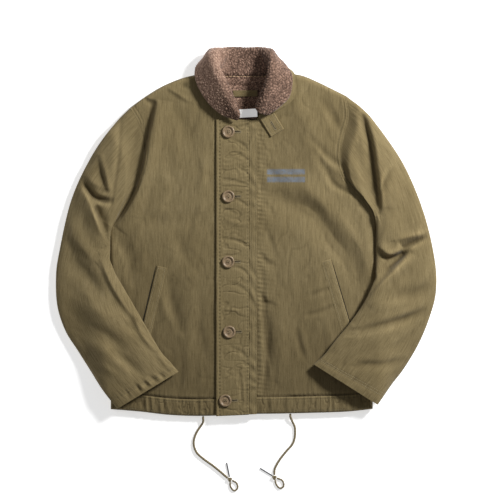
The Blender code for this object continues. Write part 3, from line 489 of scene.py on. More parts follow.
# ---- camera, floor and light
studio = {
    "cameraHeight": 5020.0, "lens": 180.0, "aimX": -6.3, "aimY": -36.9, "floorSize": 2.4,
    "keyAt": (1.48, 1.11, 1.36), "keySize": 0.46, "key": 68.0, "fill": 0.15, "floorGlow": 0.56,
    "leftAt": (-1.55, 0.55, 1.45), "leftSize": 0.9, "left": 4.0,
}
print("camera, floor and light")
cameraData = bpy.data.cameras.new("camera")
cameraData.lens = studio["lens"]
cameraData.clip_end = 50
camera = bpy.data.objects.new("camera", cameraData)
camera.location = (studio["aimX"] * metre, studio["aimY"] * metre, studio["cameraHeight"] * metre)
bpy.context.scene.collection.objects.link(camera)
bpy.context.scene.camera = camera
bpy.context.scene.view_settings.view_transform = "Standard"

half = studio["floorSize"]
floorMesh = bpy.data.meshes.new("floor")
floorMesh.from_pydata([(-half, -half, -0.0006), (half, -half, -0.0006), (half, half, -0.0006), (-half, half, -0.0006)], [], [(0, 1, 2, 3)])
paleFloor = plainMaterial("pale_floor", (0.94, 0.94, 0.94), (0.96, 0.96, 0.96), 3, 0.9, 0.0001, 0.0, 0.1)
paleFloor.node_tree.nodes["Principled BSDF"].inputs["Emission Color"].default_value = (1, 1, 1, 1)
paleFloor.node_tree.nodes["Principled BSDF"].inputs["Emission Strength"].default_value = studio["floorGlow"]
floorMesh.materials.append(paleFloor)
floor = bpy.data.objects.new("floor", floorMesh)
bpy.context.scene.collection.objects.link(floor)


def areaLight(name, place, size, power):
    data = bpy.data.lights.new(name, "AREA")
    data.shape, data.size, data.energy = "DISK", size, power
    light = bpy.data.objects.new(name, data)
    light.location = place
    toMiddle = -np.array(place) / np.linalg.norm(place)
    light.rotation_euler = (math.acos(-toMiddle[2]), 0, math.atan2(toMiddle[1], toMiddle[0]) - math.pi / 2)
    bpy.context.scene.collection.objects.link(light)


areaLight("key_light", studio["keyAt"], studio["keySize"], studio["key"])
areaLight("left_light", studio["leftAt"], studio["leftSize"], studio["left"])
world = bpy.data.worlds.new("studio")
world.use_nodes = True
world.node_tree.nodes["Background"].inputs["Color"].default_value = (1, 1, 1, 1)
world.node_tree.nodes["Background"].inputs["Strength"].default_value = studio["fill"]
bpy.context.scene.world = world


# ---- drawcords
cords = {
    "width": 4.6, "loopWidth": 3.7, "tipWidth": 2.6, "knotWidth": 9.4, "fall": 26.0, "strands": 8, "braidPitch": 11.0,
    "right": {
        "route": [(-87, -380), (-88, -390), (-101, -411), (-106, -430), (-101, -448), (-88, -461), (-66, -477), (-49, -491)],
        "knot": (-33.5, -503.5), "cordAt": 149, "tipAt": 98, "loopOut": -82, "loopBack": -22,
        "loop": [(-32, -518), (-25, -526), (-18, -521), (-20, -511)], "tip": (-40, -470),
    },
    "left": {
        "route": [(88, -377), (91, -385), (97, -399), (97, -418), (92, -433), (79, -448), (66, -465), (57, -482)],
        "knot": (56, -499.5), "cordAt": 92, "tipAt": 141, "loopOut": -76, "loopBack": -14,
        "loop": [(60, -514), (67, -521), (74.5, -517), (72, -506)], "tip": (27, -481),
    },
}


def tubeAlong(line, radius, sides):
    """Rings round a line: each ring is a circle across the line's direction, with its first point kept level with the table."""
    run = np.gradient(line, axis=0)
    run /= np.linalg.norm(run, axis=1, keepdims=True)
    side = np.cross(run, [0, 0, 1.0])
    side /= np.maximum(np.linalg.norm(side, axis=1, keepdims=True), 1e-6)
    up = np.cross(side, run)
    theta = np.linspace(0, 2 * math.pi, sides, endpoint=False)
    around = side[:, None] * np.cos(theta)[None, :, None] + up[:, None] * np.sin(theta)[None, :, None]
    return line[:, None] + around * np.broadcast_to(radius, (len(line), sides))[..., None]


def braided(name, line, width, finish, **keys):
    """A braid: the radius rises where either of two sets of crossing helices passes, and the ends are rounded shut."""
    along = lengthAlong(line)
    sides = 24
    theta = np.linspace(0, 2 * math.pi, sides, endpoint=False)[None, :]
    turn = along[:, None] / cords["braidPitch"] * 2 * math.pi
    half = cords["strands"] / 2
    one, other = np.cos(half * theta + turn * half / 2), np.cos(half * theta - turn * half / 2)
    strand = np.maximum(one, other) * 0.5 + 0.5
    ends = np.maximum(rounded(np.minimum(along, along[-1] - along) + 0.15, width / 2), 0.25)[:, None]
    radius = (width / 2 - 0.35 + 0.35 * strand) * ends
    points = tubeAlong(line, radius, sides)
    count = len(line)
    index = np.arange(count * sides).reshape(count, sides)
    faces = [quads(index, True), index[:1], index[-1:, ::-1]]
    toneWearAndShade = np.broadcast_to(strand, (count, sides))
    return addPiece(name, points.reshape(-1, 3), faces, finish, toneWearAndShade=toneWearAndShade, **keys)


def besideKnot(knot, angle, width):
    away = cords["knotWidth"] / 2 + 0.03 * width + 0.15
    return (knot[0] + away * math.cos(math.radians(angle)), knot[1] + away * math.sin(math.radians(angle)))


def cordLine(route, startZ, width, step):
    # a smooth route on the table, which comes down from startZ over the first stretch
    rough = curveThrough(route, 40)
    count = int(lengthAlong(rough)[-1] / step) + 2
    line = curveThrough(route, count)
    low = width / 2 + 0.1
    z = low + max(startZ - low, 0) * (1 - smoothStep(lengthAlong(line), 0, cords["fall"]))
    return np.column_stack([line, z])


def knotLump(name, spot, width):
    """An overhand knot: a tube along the trefoil curve x = sin t + 2 sin 2t, y = cos t - 2 cos 2t, z = -sin 3t."""
    t = np.linspace(0, 2 * math.pi, 150)
    size = 1.06
    line = np.column_stack([np.sin(t) + 2 * np.sin(2 * t), np.cos(t) - 2 * np.cos(2 * t), -1.15 * np.sin(3 * t)]) * size
    line += np.array([spot[0], spot[1], 3.45])
    sides = 16
    theta = np.linspace(0, 2 * math.pi, sides, endpoint=False)[None, :]
    turn = lengthAlong(line)[:, None]
    strand = np.maximum(np.cos(3 * theta + turn * 1.4), np.cos(3 * theta - turn * 1.4)) * 0.5 + 0.5
    points = tubeAlong(line[:-1], (width / 2 - 0.3 + 0.3 * strand)[:-1], sides)
    points[..., 2] = np.maximum(points[..., 2], 0.15)
    index = np.arange(len(points) * sides).reshape(-1, sides)
    closed = quads(np.vstack([index, index[:1]]), True)
    return addPiece(name, points.reshape(-1, 3), [closed], cordBraid, [name], "cord_braid", toneWearAndShade=strand[:-1])


def hemAt(x):
    line = curveThrough(hem["edge"], 400)
    return np.interp(x, line[:, 0], line[:, 1])


hem = {
    "edge": [(-272, -362), (-212, -367), (-160, -373), (-110, -375.5), (-61, -375), (-12, -373), (20, -371.5), (60, -371),
             (128, -369.5), (200, -367), (253, -361.5)],
}

print("drawcords")
for side in ("right", "left"):
    own = cords[side]
    exitX = own["route"][0][0]
    start = (exitX, float(hemAt(exitX)) - 2 * seam)
    route = [start] + own["route"] + [besideKnot(own["knot"], own["cordAt"], cords["width"])]
    line = cordLine(route, frontBase - seam / 2, cords["width"], 0.75)
    cordPiece = braided("drawcord_" + side, line, cords["width"], cordBraid, replaces=["drawcord_" + side], slot="cord_braid")
    knotPiece = knotLump("knot_" + side, own["knot"], 3.6)
    ends = [besideKnot(own["knot"], own[key], cords["loopWidth"]) for key in ("loopOut", "loopBack")]
    loopLine = cordLine([ends[0]] + own["loop"] + [ends[1]], 0, cords["loopWidth"], 0.6)
    loopPiece = braided("loop_" + side, loopLine, cords["loopWidth"], cordBraid, replaces=["loop_" + side], slot="cord_braid")
    tipLine = cordLine([besideKnot(own["knot"], own["tipAt"], cords["tipWidth"]), own["tip"]], 0, cords["tipWidth"], 0.5)
    along = lengthAlong(tipLine)
    crimp = 1 - 0.10 * (bell(along - 3, 0.6) + bell(along - 5, 0.6) + bell(along - along[-1] + 2.5, 0.6))
    radius = cords["tipWidth"] / 2 * crimp * np.maximum(rounded(np.minimum(along, along[-1] - along), 1.2), 0.3)
    tube = tubeAlong(tipLine, radius[:, None], 16)
    index = np.arange(len(tube) * 16).reshape(-1, 16)
    tipPiece = addPiece("tip_" + side, tube.reshape(-1, 3), [quads(index, True), index[:1], index[-1:, ::-1]], cordTip,
                        ["tip_" + side], "cord_tip")
    frameLine = (line + middleAt) * metre
    float(lengthAlong(frameLine)[-1])


# ---- stitches
stitch = {"length": 2.7, "pitch": 3.5, "width": 0.85, "height": 0.7}


def stitchesAlong(lines, heightAt, settings=stitch, sunk=0.12):
    """Points and faces of rows of stitches: each stitch is a four-sided spindle laid along its row, a little sunk in the cloth."""
    centres, runs = [], []
    for row in lines:
        rough = curveThrough(row, 200)
        count = max(int(lengthAlong(rough)[-1] / settings["pitch"]), 2)
        shares = (np.arange(count) + 0.5) / count
        step = 0.4 / count
        low, high = curveThrough(row, shares - step), curveThrough(row, shares + step)
        ends = [np.column_stack([p[:, :2], heightAt(p[:, 0], p[:, 1])]) for p in (low, high)]
        centres.append((ends[0] + ends[1]) / 2)
        runs.append(ends[1] - ends[0])
    centre, run = np.vstack(centres), np.vstack(runs)
    run /= np.linalg.norm(run, axis=1, keepdims=True)
    side = np.cross(run, [0, 0, 1.0])
    side /= np.linalg.norm(side, axis=1, keepdims=True)
    up = np.cross(side, run)
    centre = centre + up * (settings["height"] / 2 - sunk - settings["height"] * 0.25)
    t = np.array([-1.0, -0.45, 0.45, 1.0])[None, :, None, None] * settings["length"] / 2
    fat = np.array([0.35, 1.0, 1.0, 0.35])[None, :, None, None]
    theta = np.linspace(0, 2 * math.pi, 5, endpoint=False)[None, None, :, None]
    across = side[:, None, None] * np.cos(theta) * settings["width"] / 2 + up[:, None, None] * np.sin(theta) * settings["height"] / 2
    points = centre[:, None, None] + run[:, None, None] * t + across * fat
    index = np.arange(points[..., 0].size).reshape(-1, 4, 5)
    wrapped = np.concatenate([index, index[:, :, :1]], axis=2)
    body = np.stack([wrapped[:, :-1, :-1], wrapped[:, :-1, 1:], wrapped[:, 1:, 1:], wrapped[:, 1:, :-1]], -1).reshape(-1, 4)
    caps = np.concatenate([index[:, 0, ::-1], index[:, 3]])
    return points.reshape(-1, 3), [body, caps]


def addStitches(name, lines, heightAt, settings=stitch, finish=None, slot="shell_cloth"):
    points, faces = stitchesAlong(lines, heightAt, settings)
    return addPiece(name, points, faces, finish or threadFinish, slot=slot)


# ---- the two fronts and the back
rightFront = {
    "side": [(-272, -328), (-276, -180), (-273, 0)],
    "armhole": [(-273, 0), (-250, 33), (-222, 85), (-206, 140), (-206, 180), (-217, 214), (-233, 242)],
    "shoulder": [(-70, 311), (-101, 308), (-133, 300), (-169, 285), (-203, 264), (-233, 242)],
    "neck": [(0, 213), (-21, 222), (-43, 238), (-61, 260), (-69, 281), (-70, 311)],
    "edgeX": 0.0, "freeFrom": -61.0, "armpitY": 0, "gather": 0.25, "seed": 11,
    "shared": [
        ([(-176, 258), (-182, 226), (-196, 166), (-204, 120), (-218, 70), (-240, 32), (-262, 4)], 28, 5.5, 9.4),
        ([(-190, 258), (-199, 226), (-211, 166), (-222, 120), (-237, 70), (-256, 32), (-271, 6)], 11, 26, -8.6),
        ([(-251, 224), (-254, 150), (-264, 82), (-272, 34)], 3.2, 3.2, -2.0), ([(-262, 214), (-266, 140), (-276, 70)], 7, 12, 2.0),
        ([(-205, 262), (-196, 254), (-186, 252)], 5, 5, -2.6),
    ],
    "drapes": [
        ([(-150, 250), (-128, 214), (-104, 160)], 16, 20, -3.0), ([(-130, 289), (-119, 283)], 6, 6, -2.6),
        ([(-158, 283), (-138, 270), (-116, 256)], 6, 4, 2.2), ([(-262, -20), (-238, -52), (-232, -96)], 16, 10, -4.5),
        ([(-200, 20), (-150, 14), (-110, 26)], 14, 20, -2.6), ([(-139, -14), (-128, -44), (-112, -70)], 14, 12, -3.2),
        ([(-156, -100), (-149, -150), (-132, -200)], 12, 8, -4.2), ([(-172, -130), (-160, -180)], 8, 12, 2.2),
        ([(-94, -196), (-90, -225), (-86, -256)], 10, 12, -2.2), ([(-116, -100), (-112, -160), (-120, -230), (-112, -310)], 14, 18, 2.4),
        ([(-92, 160), (-86, 100), (-92, 40)], 10, 14, 1.8), ([(-168, 120), (-160, 70), (-176, 30)], 10, 14, 2.4),
    ],
    "creases": [
        (-92, 262, -112, 190, 4, 6, 9, -1.4), (-128, 240, -140, 150, -4, 7, 10, 1.2), (-168, 210, -180, 110, 4, 6, 8, -1.3),
        (-190, 90, -216, 10, 6, 6, 9, -1.6), (-210, 20, -236, -60, 4, 7, 10, 1.3), (-90, 60, -118, -30, -5, 6, 8, -1.1),
        (-150, 60, -196, -10, 6, 8, 10, -1.3), (-220, -90, -238, -190, 4, 7, 9, -1.4), (-90, -130, -100, -230, 3, 6, 8, -1.2),
        (-176, -250, -190, -316, -3, 6, 9, -1.5), (-130, -270, -136, -330, 3, 5, 7, -1.2), (-92, -262, -90, -328, 2, 5, 7, 1.1),
        (-236, -230, -226, -310, 3, 6, 9, 1.4), (-252, -60, -240, -150, -4, 6, 8, -1.3), (-80, 150, -96, 80, 3, 6, 8, 1.0),
    ],
    "flat": (0.275, 0.665), "area": 0.150,
}
leftFront = {
    "side": [(253, -327), (258, -180), (261, 20)],
    "armhole": [(261, 20), (244, 54), (220, 77), (202, 99), (191, 130), (190, 158), (197, 192), (205, 225), (199, 266)],
    "shoulder": [(72, 312), (96, 309.5), (115, 305.5), (139, 295.5), (168, 281.5), (199, 266)],
    "neck": [(20.6, 219), (29, 234), (43, 250), (57, 268), (65, 286), (72, 312)],
    "edgeX": 20.6, "freeFrom": 20.3, "armpitY": 20, "gather": 1.7, "seed": 23,
    "shared": [
        ([(200, 252), (222, 212), (240, 168)], 8, 12, 3.6),
        ([(160, 116), (176, 86), (216, 68)], 7, 6, -3.0),
    ],
    "drapes": [
        ([(33, 76), (81, 54), (127, 36), (150, 10), (170, -22), (204, -58), (228, -108)], 17, 23, -6.5),
        ([(96, 92), (140, 66), (176, 26), (206, -14)], 22, 15, 3.4), ([(129, 181), (166, 141), (203, 117)], 9, 6, -3.6),
        ([(150, 258), (168, 232), (190, 192)], 9, 9, -3.4), ([(98, 262), (118, 200), (148, 130)], 18, 20, 3.2),
        ([(46, 20), (84, 2), (124, -22)], 20, 26, 2.6), ([(31, -52), (40, -66), (52, -70)], 5, 7, -2.8),
        ([(26, -126), (36, -146), (50, -150)], 5, 8, -3.2), ([(32, -150), (38, -205), (42, -262), (35, -332)], 11, 6, -4.6),
        ([(66, -160), (70, -220), (62, -300)], 12, 16, 2.8), ([(101, -205), (106, -230), (115, -256)], 5, 7, -2.0),
        ([(124, -134), (146, -126), (170, -118)], 5, 6, -1.8), ([(116, -172), (140, -168), (176, -154)], 5, 6, -1.8),
        ([(120, -60), (112, -130), (124, -200)], 18, 22, -2.2), ([(236, 10), (244, -40), (240, -90)], 9, 14, 2.6),
    ],
    "creases": [
        (104, 218, 186, 92, -8, 8, 9, -1.8), (140, 150, 196, 70, -6, 7, 8, -1.6), (30, 130, 62, 96, 4, 6, 8, -1.4),
        (28, 60, 60, 20, 3, 5, 7, -1.2), (32, 10, 56, -50, 3, 5, 7, -1.3), (30, -80, 38, -170, 2, 4, 6, -1.6),
        (46, -190, 40, -260, 2, 5, 6, -1.8), (36, -240, 48, -310, 3, 4, 6, 1.4), (60, -270, 52, -330, 3, 4, 6, -1.4),
        (164, -20, 210, -110, 6, 7, 9, -1.6), (190, 20, 236, -60, 5, 7, 9, 1.4), (100, -170, 118, -270, -4, 7, 9, -1.3),
        (160, -180, 176, -290, 4, 8, 9, 1.2), (216, -130, 224, -240, 4, 7, 8, -1.3), (90, 130, 130, 60, 6, 8, 9, 1.2),
        (210, -250, 216, -322, 3, 6, 8, -1.3), (128, -270, 136, -330, 3, 6, 8, 1.2),
    ],
    "flat": (0.235, 0.665), "area": 0.128,
}
clothStep = 1.9  # distance between the points of a cloth that shows


def gridBetween(bottom, top, inner, outer, across, up):
    """A Coons patch: the blend of two sides plus the blend of two ends, less the blend of the four corners."""
    u, v = across[None, :, None], up[:, None, None]
    sides = (1 - u) * inner[:, None] + u * outer[:, None]
    ends = (1 - v) * bottom[None] + v * top[None]
    return sides + ends - (1 - v) * ((1 - u) * bottom[0] + u * bottom[-1]) - v * ((1 - u) * top[0] + u * top[-1])


def rimShares(count, lowRim, highRim):
    # even shares, with a few close ones at an edge that is rounded
    rim = np.array([0.0, 0.0025, 0.008])
    shares = np.linspace(0, 1, count)
    if lowRim:
        shares = np.concatenate([rim, shares[shares > 0.012]])
    if highRim:
        shares = np.concatenate([shares[shares < 0.988], 1 - rim[::-1]])
    return shares


def edgeLine(points):
    rough = curveThrough(points, 60)
    return curveThrough(points, int(lengthAlong(rough)[-1] / clothStep) + 2)


def joinedLine(first, second, shares):
    # points at these shares of two curves laid end to end, one of them at the corner
    lengths = [lengthAlong(curveThrough(line, 100))[-1] for line in (first, second)]
    corner = np.argmin(np.abs(shares - lengths[0] / sum(lengths)))
    before = curveThrough(first, shares[: corner + 1] / shares[corner])
    after = curveThrough(second, (shares[corner:] - shares[corner]) / (1 - shares[corner]))
    return np.vstack([before, after[1:]])


def frontGrid(s):
    outer = np.vstack([edgeLine(s["side"])[:-1], edgeLine(s["armhole"])])
    up = lengthAlong(outer) / lengthAlong(outer)[-1]
    width = abs(outer[0, 0] - s["edgeX"])
    across = rimShares(int(width / clothStep), False, True)
    edge = [(s["edgeX"], float(hemAt(s["edgeX"])) + hemBand + seam), s["neck"][0]]
    inner = joinedLine(edge, s["neck"], up)
    bottomX = inner[0, 0] + across * (outer[0, 0] - inner[0, 0])
    bottom = np.stack([bottomX, hemAt(bottomX) + hemBand + seam], axis=1)
    outer[0], inner[0] = bottom[-1], bottom[0]
    return gridBetween(bottom, curveThrough(s["shoulder"], across), inner, outer, across, up)


def fromEdges(plan):
    # distance of each point from the first column, the last column, the first row and the last row
    steps = np.linalg.norm(np.diff(plan, axis=1), axis=2)
    first = np.concatenate([np.zeros((len(plan), 1)), np.cumsum(steps, axis=1)], axis=1)
    rises = np.linalg.norm(np.diff(plan, axis=0), axis=2)
    low = np.concatenate([np.zeros((1, plan.shape[1])), np.cumsum(rises, axis=0)])
    return first, first[:, -1:] - first, low, low[-1:] - low


def frontSurface(s):
    """Height of a front: a wall pressed into its seams, plus its folds, creases, rumples and the puckers at each seam."""
    plan = frontGrid(s)
    x, y = plan[..., 0], plan[..., 1]
    _, fromSide, fromHem, fromShoulder = fromEdges(plan)
    belowArm = 1 - smoothStep(y, s["armpitY"] - 30, s["armpitY"] + 10)
    lip = seamLip / bodyWall
    sideRise = lip + (1 - lip) * rounded(fromSide, edgeRound)
    armRise = 0.96 + 0.04 * rounded(fromSide, 5)
    shoulderRise = lip + (1 - lip) * rounded(fromShoulder, edgeRound)
    thickness = bodyWall * np.minimum(belowArm * sideRise + (1 - belowArm) * armRise, shoulderRise)
    thickness -= 2.6 * bell(fromHem, 3.2)
    atSide = belowArm * rounded(fromSide, 24) + (1 - belowArm)
    free = smoothStep(np.abs(x - s["freeFrom"]), 0, 12) * rounded(fromShoulder, 20) * rounded(fromHem, 14)
    near = smoothStep(np.abs(x - s["freeFrom"]), 0, 8) * rounded(fromSide, 10) * rounded(fromShoulder, 12) * rounded(fromHem, 10)
    swell = drape(x, y, s["shared"]) * atSide * rounded(fromShoulder, 12) + drape(x, y, s["drapes"]) * free * rounded(fromSide, 24)
    swell += foldHeight(x, y, s["creases"]) * near + (rumple(x, y, s["seed"]) * 1.2 + 0.7 * wrinkles(x / 34, y / 66, s["seed"] + 3)) * near
    seamLength = lengthAlong(plan[:, -1])[:, None] + 0 * x
    hemLength = lengthAlong(plan[0])[None, :] + 0 * x
    ripples = 0.55 * pucker(seamLength, fromSide, 7, s["seed"] + 5) * rounded(fromSide, 3)
    ripples += 0.75 * pucker(hemLength, fromHem, 9, s["seed"] + 7, 8.0) * rounded(fromHem, 3)
    beside = np.abs(x - s["freeFrom"])
    ripples += s["gather"] * pucker(y, beside, 12, s["seed"] + 9, 9.0) * smoothStep(beside, 0, 2.5)
    armStitch = (1 - belowArm) * (bell(fromSide - 3.0, 1.4) + bell(fromSide - 9.0, 1.6)) * 0.8
    rise = np.maximum(thickness + swell + ripples * 0.8 - armStitch, seamLip)
    # the forearm lies on the front low at its side, so the cloth stays under it there
    covered = smoothStep(np.abs(x), 120, 134) * (1 - smoothStep(y, -60, -20))
    most = bodyWall + 3.4
    rise = np.where(rise > most - 1, rise + covered * (most - 1 + np.tanh((rise - most + 1).clip(0)) - rise), rise)
    return plan, frontBase + rise


def stack(plan, z):
    return np.dstack([plan, np.broadcast_to(z, plan.shape[:2])])


# lighter on the crests as wear, and darker in the creases as painted shade
def crestWearAndCreaseShade(top, strength=0.5, passes=8):
    return np.clip(crests(top, passes) * strength, -1, 1)


def sheetPiece(name, top, bottom, step, finish, slot, uvGrid, toneWearAndShade, declared, extra=None):
    """A closed wall of cloth with its own UVs, in millimetres of cloth; its top carries the wear, painted shade and
    painted light, and its underside none.
    """
    points, faces = closedPanel(top, bottom, step)
    rows, columns = evenly(top.shape[0], step), evenly(top.shape[1], step)
    spread = [uvGrid.reshape(-1, 2), uvGrid[np.ix_(rows, columns)].reshape(-1, 2)]
    marks = [toneWearAndShade.reshape(-1), 0 * toneWearAndShade[np.ix_(rows, columns)].reshape(-1)]
    piece = addPiece(name, points, faces, finish, [name], slot, np.vstack(spread), np.concatenate(marks))
    if extra:
        key, values = extra
        padded = np.concatenate([values.reshape(-1), np.zeros(len(points) - values.size)])
        piece.data.attributes.new(key, "FLOAT", "POINT").data.foreach_set("value", padded.astype(np.float32))
    declared.get("area")
    return piece


# two plain faded bars stand where the chest carries its print
chestPrint = {"left": 41.0, "right": 117.0, "bars": [(113.5, 5.2), (98.0, 5.2)], "soft": 1.2}


def barsOfInk(x, y, s):
    inside = smoothStep(x, s["left"] - s["soft"], s["left"] + s["soft"]) * (1 - smoothStep(x, s["right"] - s["soft"], s["right"] + s["soft"]))
    total = np.zeros_like(x)
    for middle, halfHeight in s["bars"]:
        total = np.maximum(total, 1 - smoothStep(np.abs(y - middle), halfHeight - s["soft"], halfHeight + s["soft"]))
    return total * inside * (0.80 + 0.20 * softNoise(x / 5, y / 4, 77))


def paintedShadeOf(x, y, hem):
    # painted shade: the cloth is a little deeper toward the hem, where the light falls off, and on the wearer's left of
    # the chest, where the cloth slopes away from the light
    chest = np.exp(-(((x - 88) / 72) ** 2) - ((y - 150) / 85) ** 2)
    return -hem * smoothStep(-y, -60, 300) - 0.30 * chest


print("fronts")
surfaces = {}
for name, s in (("front_right", rightFront), ("front_left", leftFront)):
    plan, top = frontSurface(s)
    grid = stack(plan, top)
    surfaces[name] = grid
    ink = ("ink", barsOfInk(plan[..., 0], plan[..., 1], chestPrint)) if name == "front_left" else None
    finish = printedCloth if ink else shellCloth
    sheetPiece(name, grid, stack(plan, frontBase), 9, finish, "shell_cloth", plan,
               np.clip(crestWearAndCreaseShade(top) + paintedShadeOf(plan[..., 0], plan[..., 1], 0.55), -1, 1), s, extra=ink)

print("back")
back = {"neck": [(-70, 311), (-40, 307.6), (0, 307.3), (40, 307.6), (72, 312)], "step": 6.0, "flat": (0.54, 0.65), "area": 0.315}
backSides = []
for s in (rightFront, leftFront):
    edge = np.vstack([curveThrough(s["side"], 60)[:-1], curveThrough(s["armhole"], 50)])
    backSides.append(edge)
up = lengthAlong(backSides[0]) / lengthAlong(backSides[0])[-1]
across = rimShares(90, True, True)
bottomX = backSides[0][0, 0] + across * (backSides[1][0, 0] - backSides[0][0, 0])
bottom = np.stack([bottomX, hemAt(bottomX) + hemBand + seam], axis=1)
backSides[0][0], backSides[1][0] = bottom[0], bottom[-1]
yoke = np.vstack([curveThrough(rightFront["shoulder"][::-1], 60), curveThrough(back["neck"], 60)[1:],
                  curveThrough(leftFront["shoulder"], 60)[1:]])
yokeLength = lengthAlong(yoke)
yokeTop = np.stack([np.interp(across * yokeLength[-1], yokeLength, yoke[:, k]) for k in (0, 1)], axis=1)
plan = gridBetween(bottom, yokeTop, backSides[0], backSides[1], across, up)
fromRight, fromLeft, _, fromTop = fromEdges(plan)
depth = np.minimum(rounded(np.minimum(fromRight, fromLeft), edgeRound), rounded(fromTop, edgeRound))
underside = (bodyWall - seamLip) * (1 - depth)
underside += 0.5 * (0.5 + 0.5 * rumple(plan[..., 0], plan[..., 1], 41)).clip(0) * depth
grid = stack(plan, underside)[:, ::-1]
sheetPiece("back_panel", grid, stack(plan, bodyWall)[:, ::-1], 6, shellCloth, "shell_cloth", plan[:, ::-1], crestWearAndCreaseShade(underside, 0.4), back)


# ---- hem bands
def bandRipple(x, y):
    # uneven puckers of the drawcord channel, which lean a little and fork along the band
    slow = 2.2 * softNoise(x / 26, 0 * x, 51)
    lean = 0.10 * (y + 350) * softNoise(x / 60, 0 * x + 7.7, 52)
    wave = np.sin(x / 3.1 + slow * 2 + lean) * (0.55 + 0.45 * softNoise(x / 24, y / 60, 53))
    return 1.5 * wave + 0.6 * softNoise(x / 5, y / 16, 54) + 1.6 * wrinkles(x / 9, y / 24, 55)


def hemSurface(xFrom, xTo, base):
    x = np.linspace(xFrom, xTo, int(abs(xTo - xFrom) / 1.25))
    up = rimShares(30, True, True)
    y = hemAt(x)[None, :] + hemBand * up[:, None]
    plan = np.stack([np.broadcast_to(x, y.shape), y], axis=2)
    lip = rounded(hemBand * up, 6) * rounded(hemBand * (1 - up) + 0.6, 3.5)
    endAt = xFrom if xFrom < -200 else xTo if xTo > 200 else 1e3
    ends = rounded(np.abs(x - endAt), edgeRound)
    full = np.minimum(lip[:, None], np.maximum(ends, 0.2)[None, :]) * bodyWall
    lines = 0.5 * (bell(hemBand * up - 5.5, 1.4) + bell(hemBand * up - 28.5, 1.4))
    loose = np.sin(math.pi * np.clip(up, 0, 1))[:, None] ** 0.4 * ends
    top = base + np.maximum(full + bandRipple(plan[..., 0], y) * loose - lines[:, None] * ends, seamLip)
    return plan, top


hemPieces = {
    "hem_front_right": {"from": -272, "to": 0.0, "flat": (0.272, 0.036)},
    "hem_front_left": {"from": 20.6, "to": 253, "flat": (0.235, 0.036)},
}
print("hem bands")
for name, s in hemPieces.items():
    plan, top = hemSurface(s["from"], s["to"], frontBase)
    grid = stack(plan, top)
    surfaces[name] = grid
    # painted shade: the hem bands' tone is lowered by 0.45, as the light falls off toward the hem
    sheetPiece(name, grid, stack(plan, frontBase), 8, shellCloth, "shell_cloth", plan,
               np.clip(crestWearAndCreaseShade(top, 0.8, 5) - 0.45, -1, 1), s)

hemBack = {"flat": (0.53, 0.036)}
x = -272 + rimShares(200, True, True) * 525
up = rimShares(18, True, False)
y = hemAt(x)[None, :] + hemBand * up[:, None]
plan = np.stack([np.broadcast_to(x, y.shape), y], axis=2)
ends = np.minimum(rounded(x + 272, edgeRound), rounded(253 - x, edgeRound))
depth = np.minimum(rounded(hemBand * up, 7)[:, None], ends[None, :])
underside = (bodyWall - seamLip) * (1 - depth) + 0.4 * (bandRipple(plan[..., 0], y).clip(0)) * depth
sheetPiece("hem_back", stack(plan, underside)[:, ::-1], stack(plan, bodyWall)[:, ::-1], 6, shellCloth, "shell_cloth", plan[:, ::-1],
           crestWearAndCreaseShade(underside, 0.4), hemBack)


# ---- wind flap and the stitched strip beside it
flap = {"left": -61.0, "width": 66.0, "wall": 3.0, "top": 218.0, "stitchAt": 7.0, "flat": (0.066, 0.593)}
strip = {"flat": (0.024, 0.592), "wall": 2.4}
flapCreases = [
    (-60, 100, 2, 88, 3, 3, 4, -0.9), (-50, 128, -8, 142, -4, 4, 5, 0.7), (-24, 176, 2, 158, 3, 4, 5, -1.0), (-20, 150, 4, 136, 2, 3, 4, -0.8),
    (-46, -20, 2, -34, 4, 3, 4, -1.1), (-44, 20, -2, 10, -3, 5, 6, 0.8), (-30, -110, 3, -128, 3, 4, 5, -0.8), (-50, -160, -6, -170, 3, 5, 6, 0.7),
    (-24, 60, 3, 44, 2, 3, 4, -0.9), (-26, -240, 3, -262, 4, 4, 5, -0.8), (-50, 40, -20, 30, 2, 3, 4, -0.7), (-22, -76, 3, -92, 3, 3, 4, -0.9),
    (-14, -290, -10, -350, 2, 3, 4, -0.8), (-2, -300, -1, -352, 1, 3, 3, -0.7), (-26, 200, 2, 206, 2, 3, 4, -0.8), (-12, 120, 3, 108, 2, 3, 3, -0.8),
]


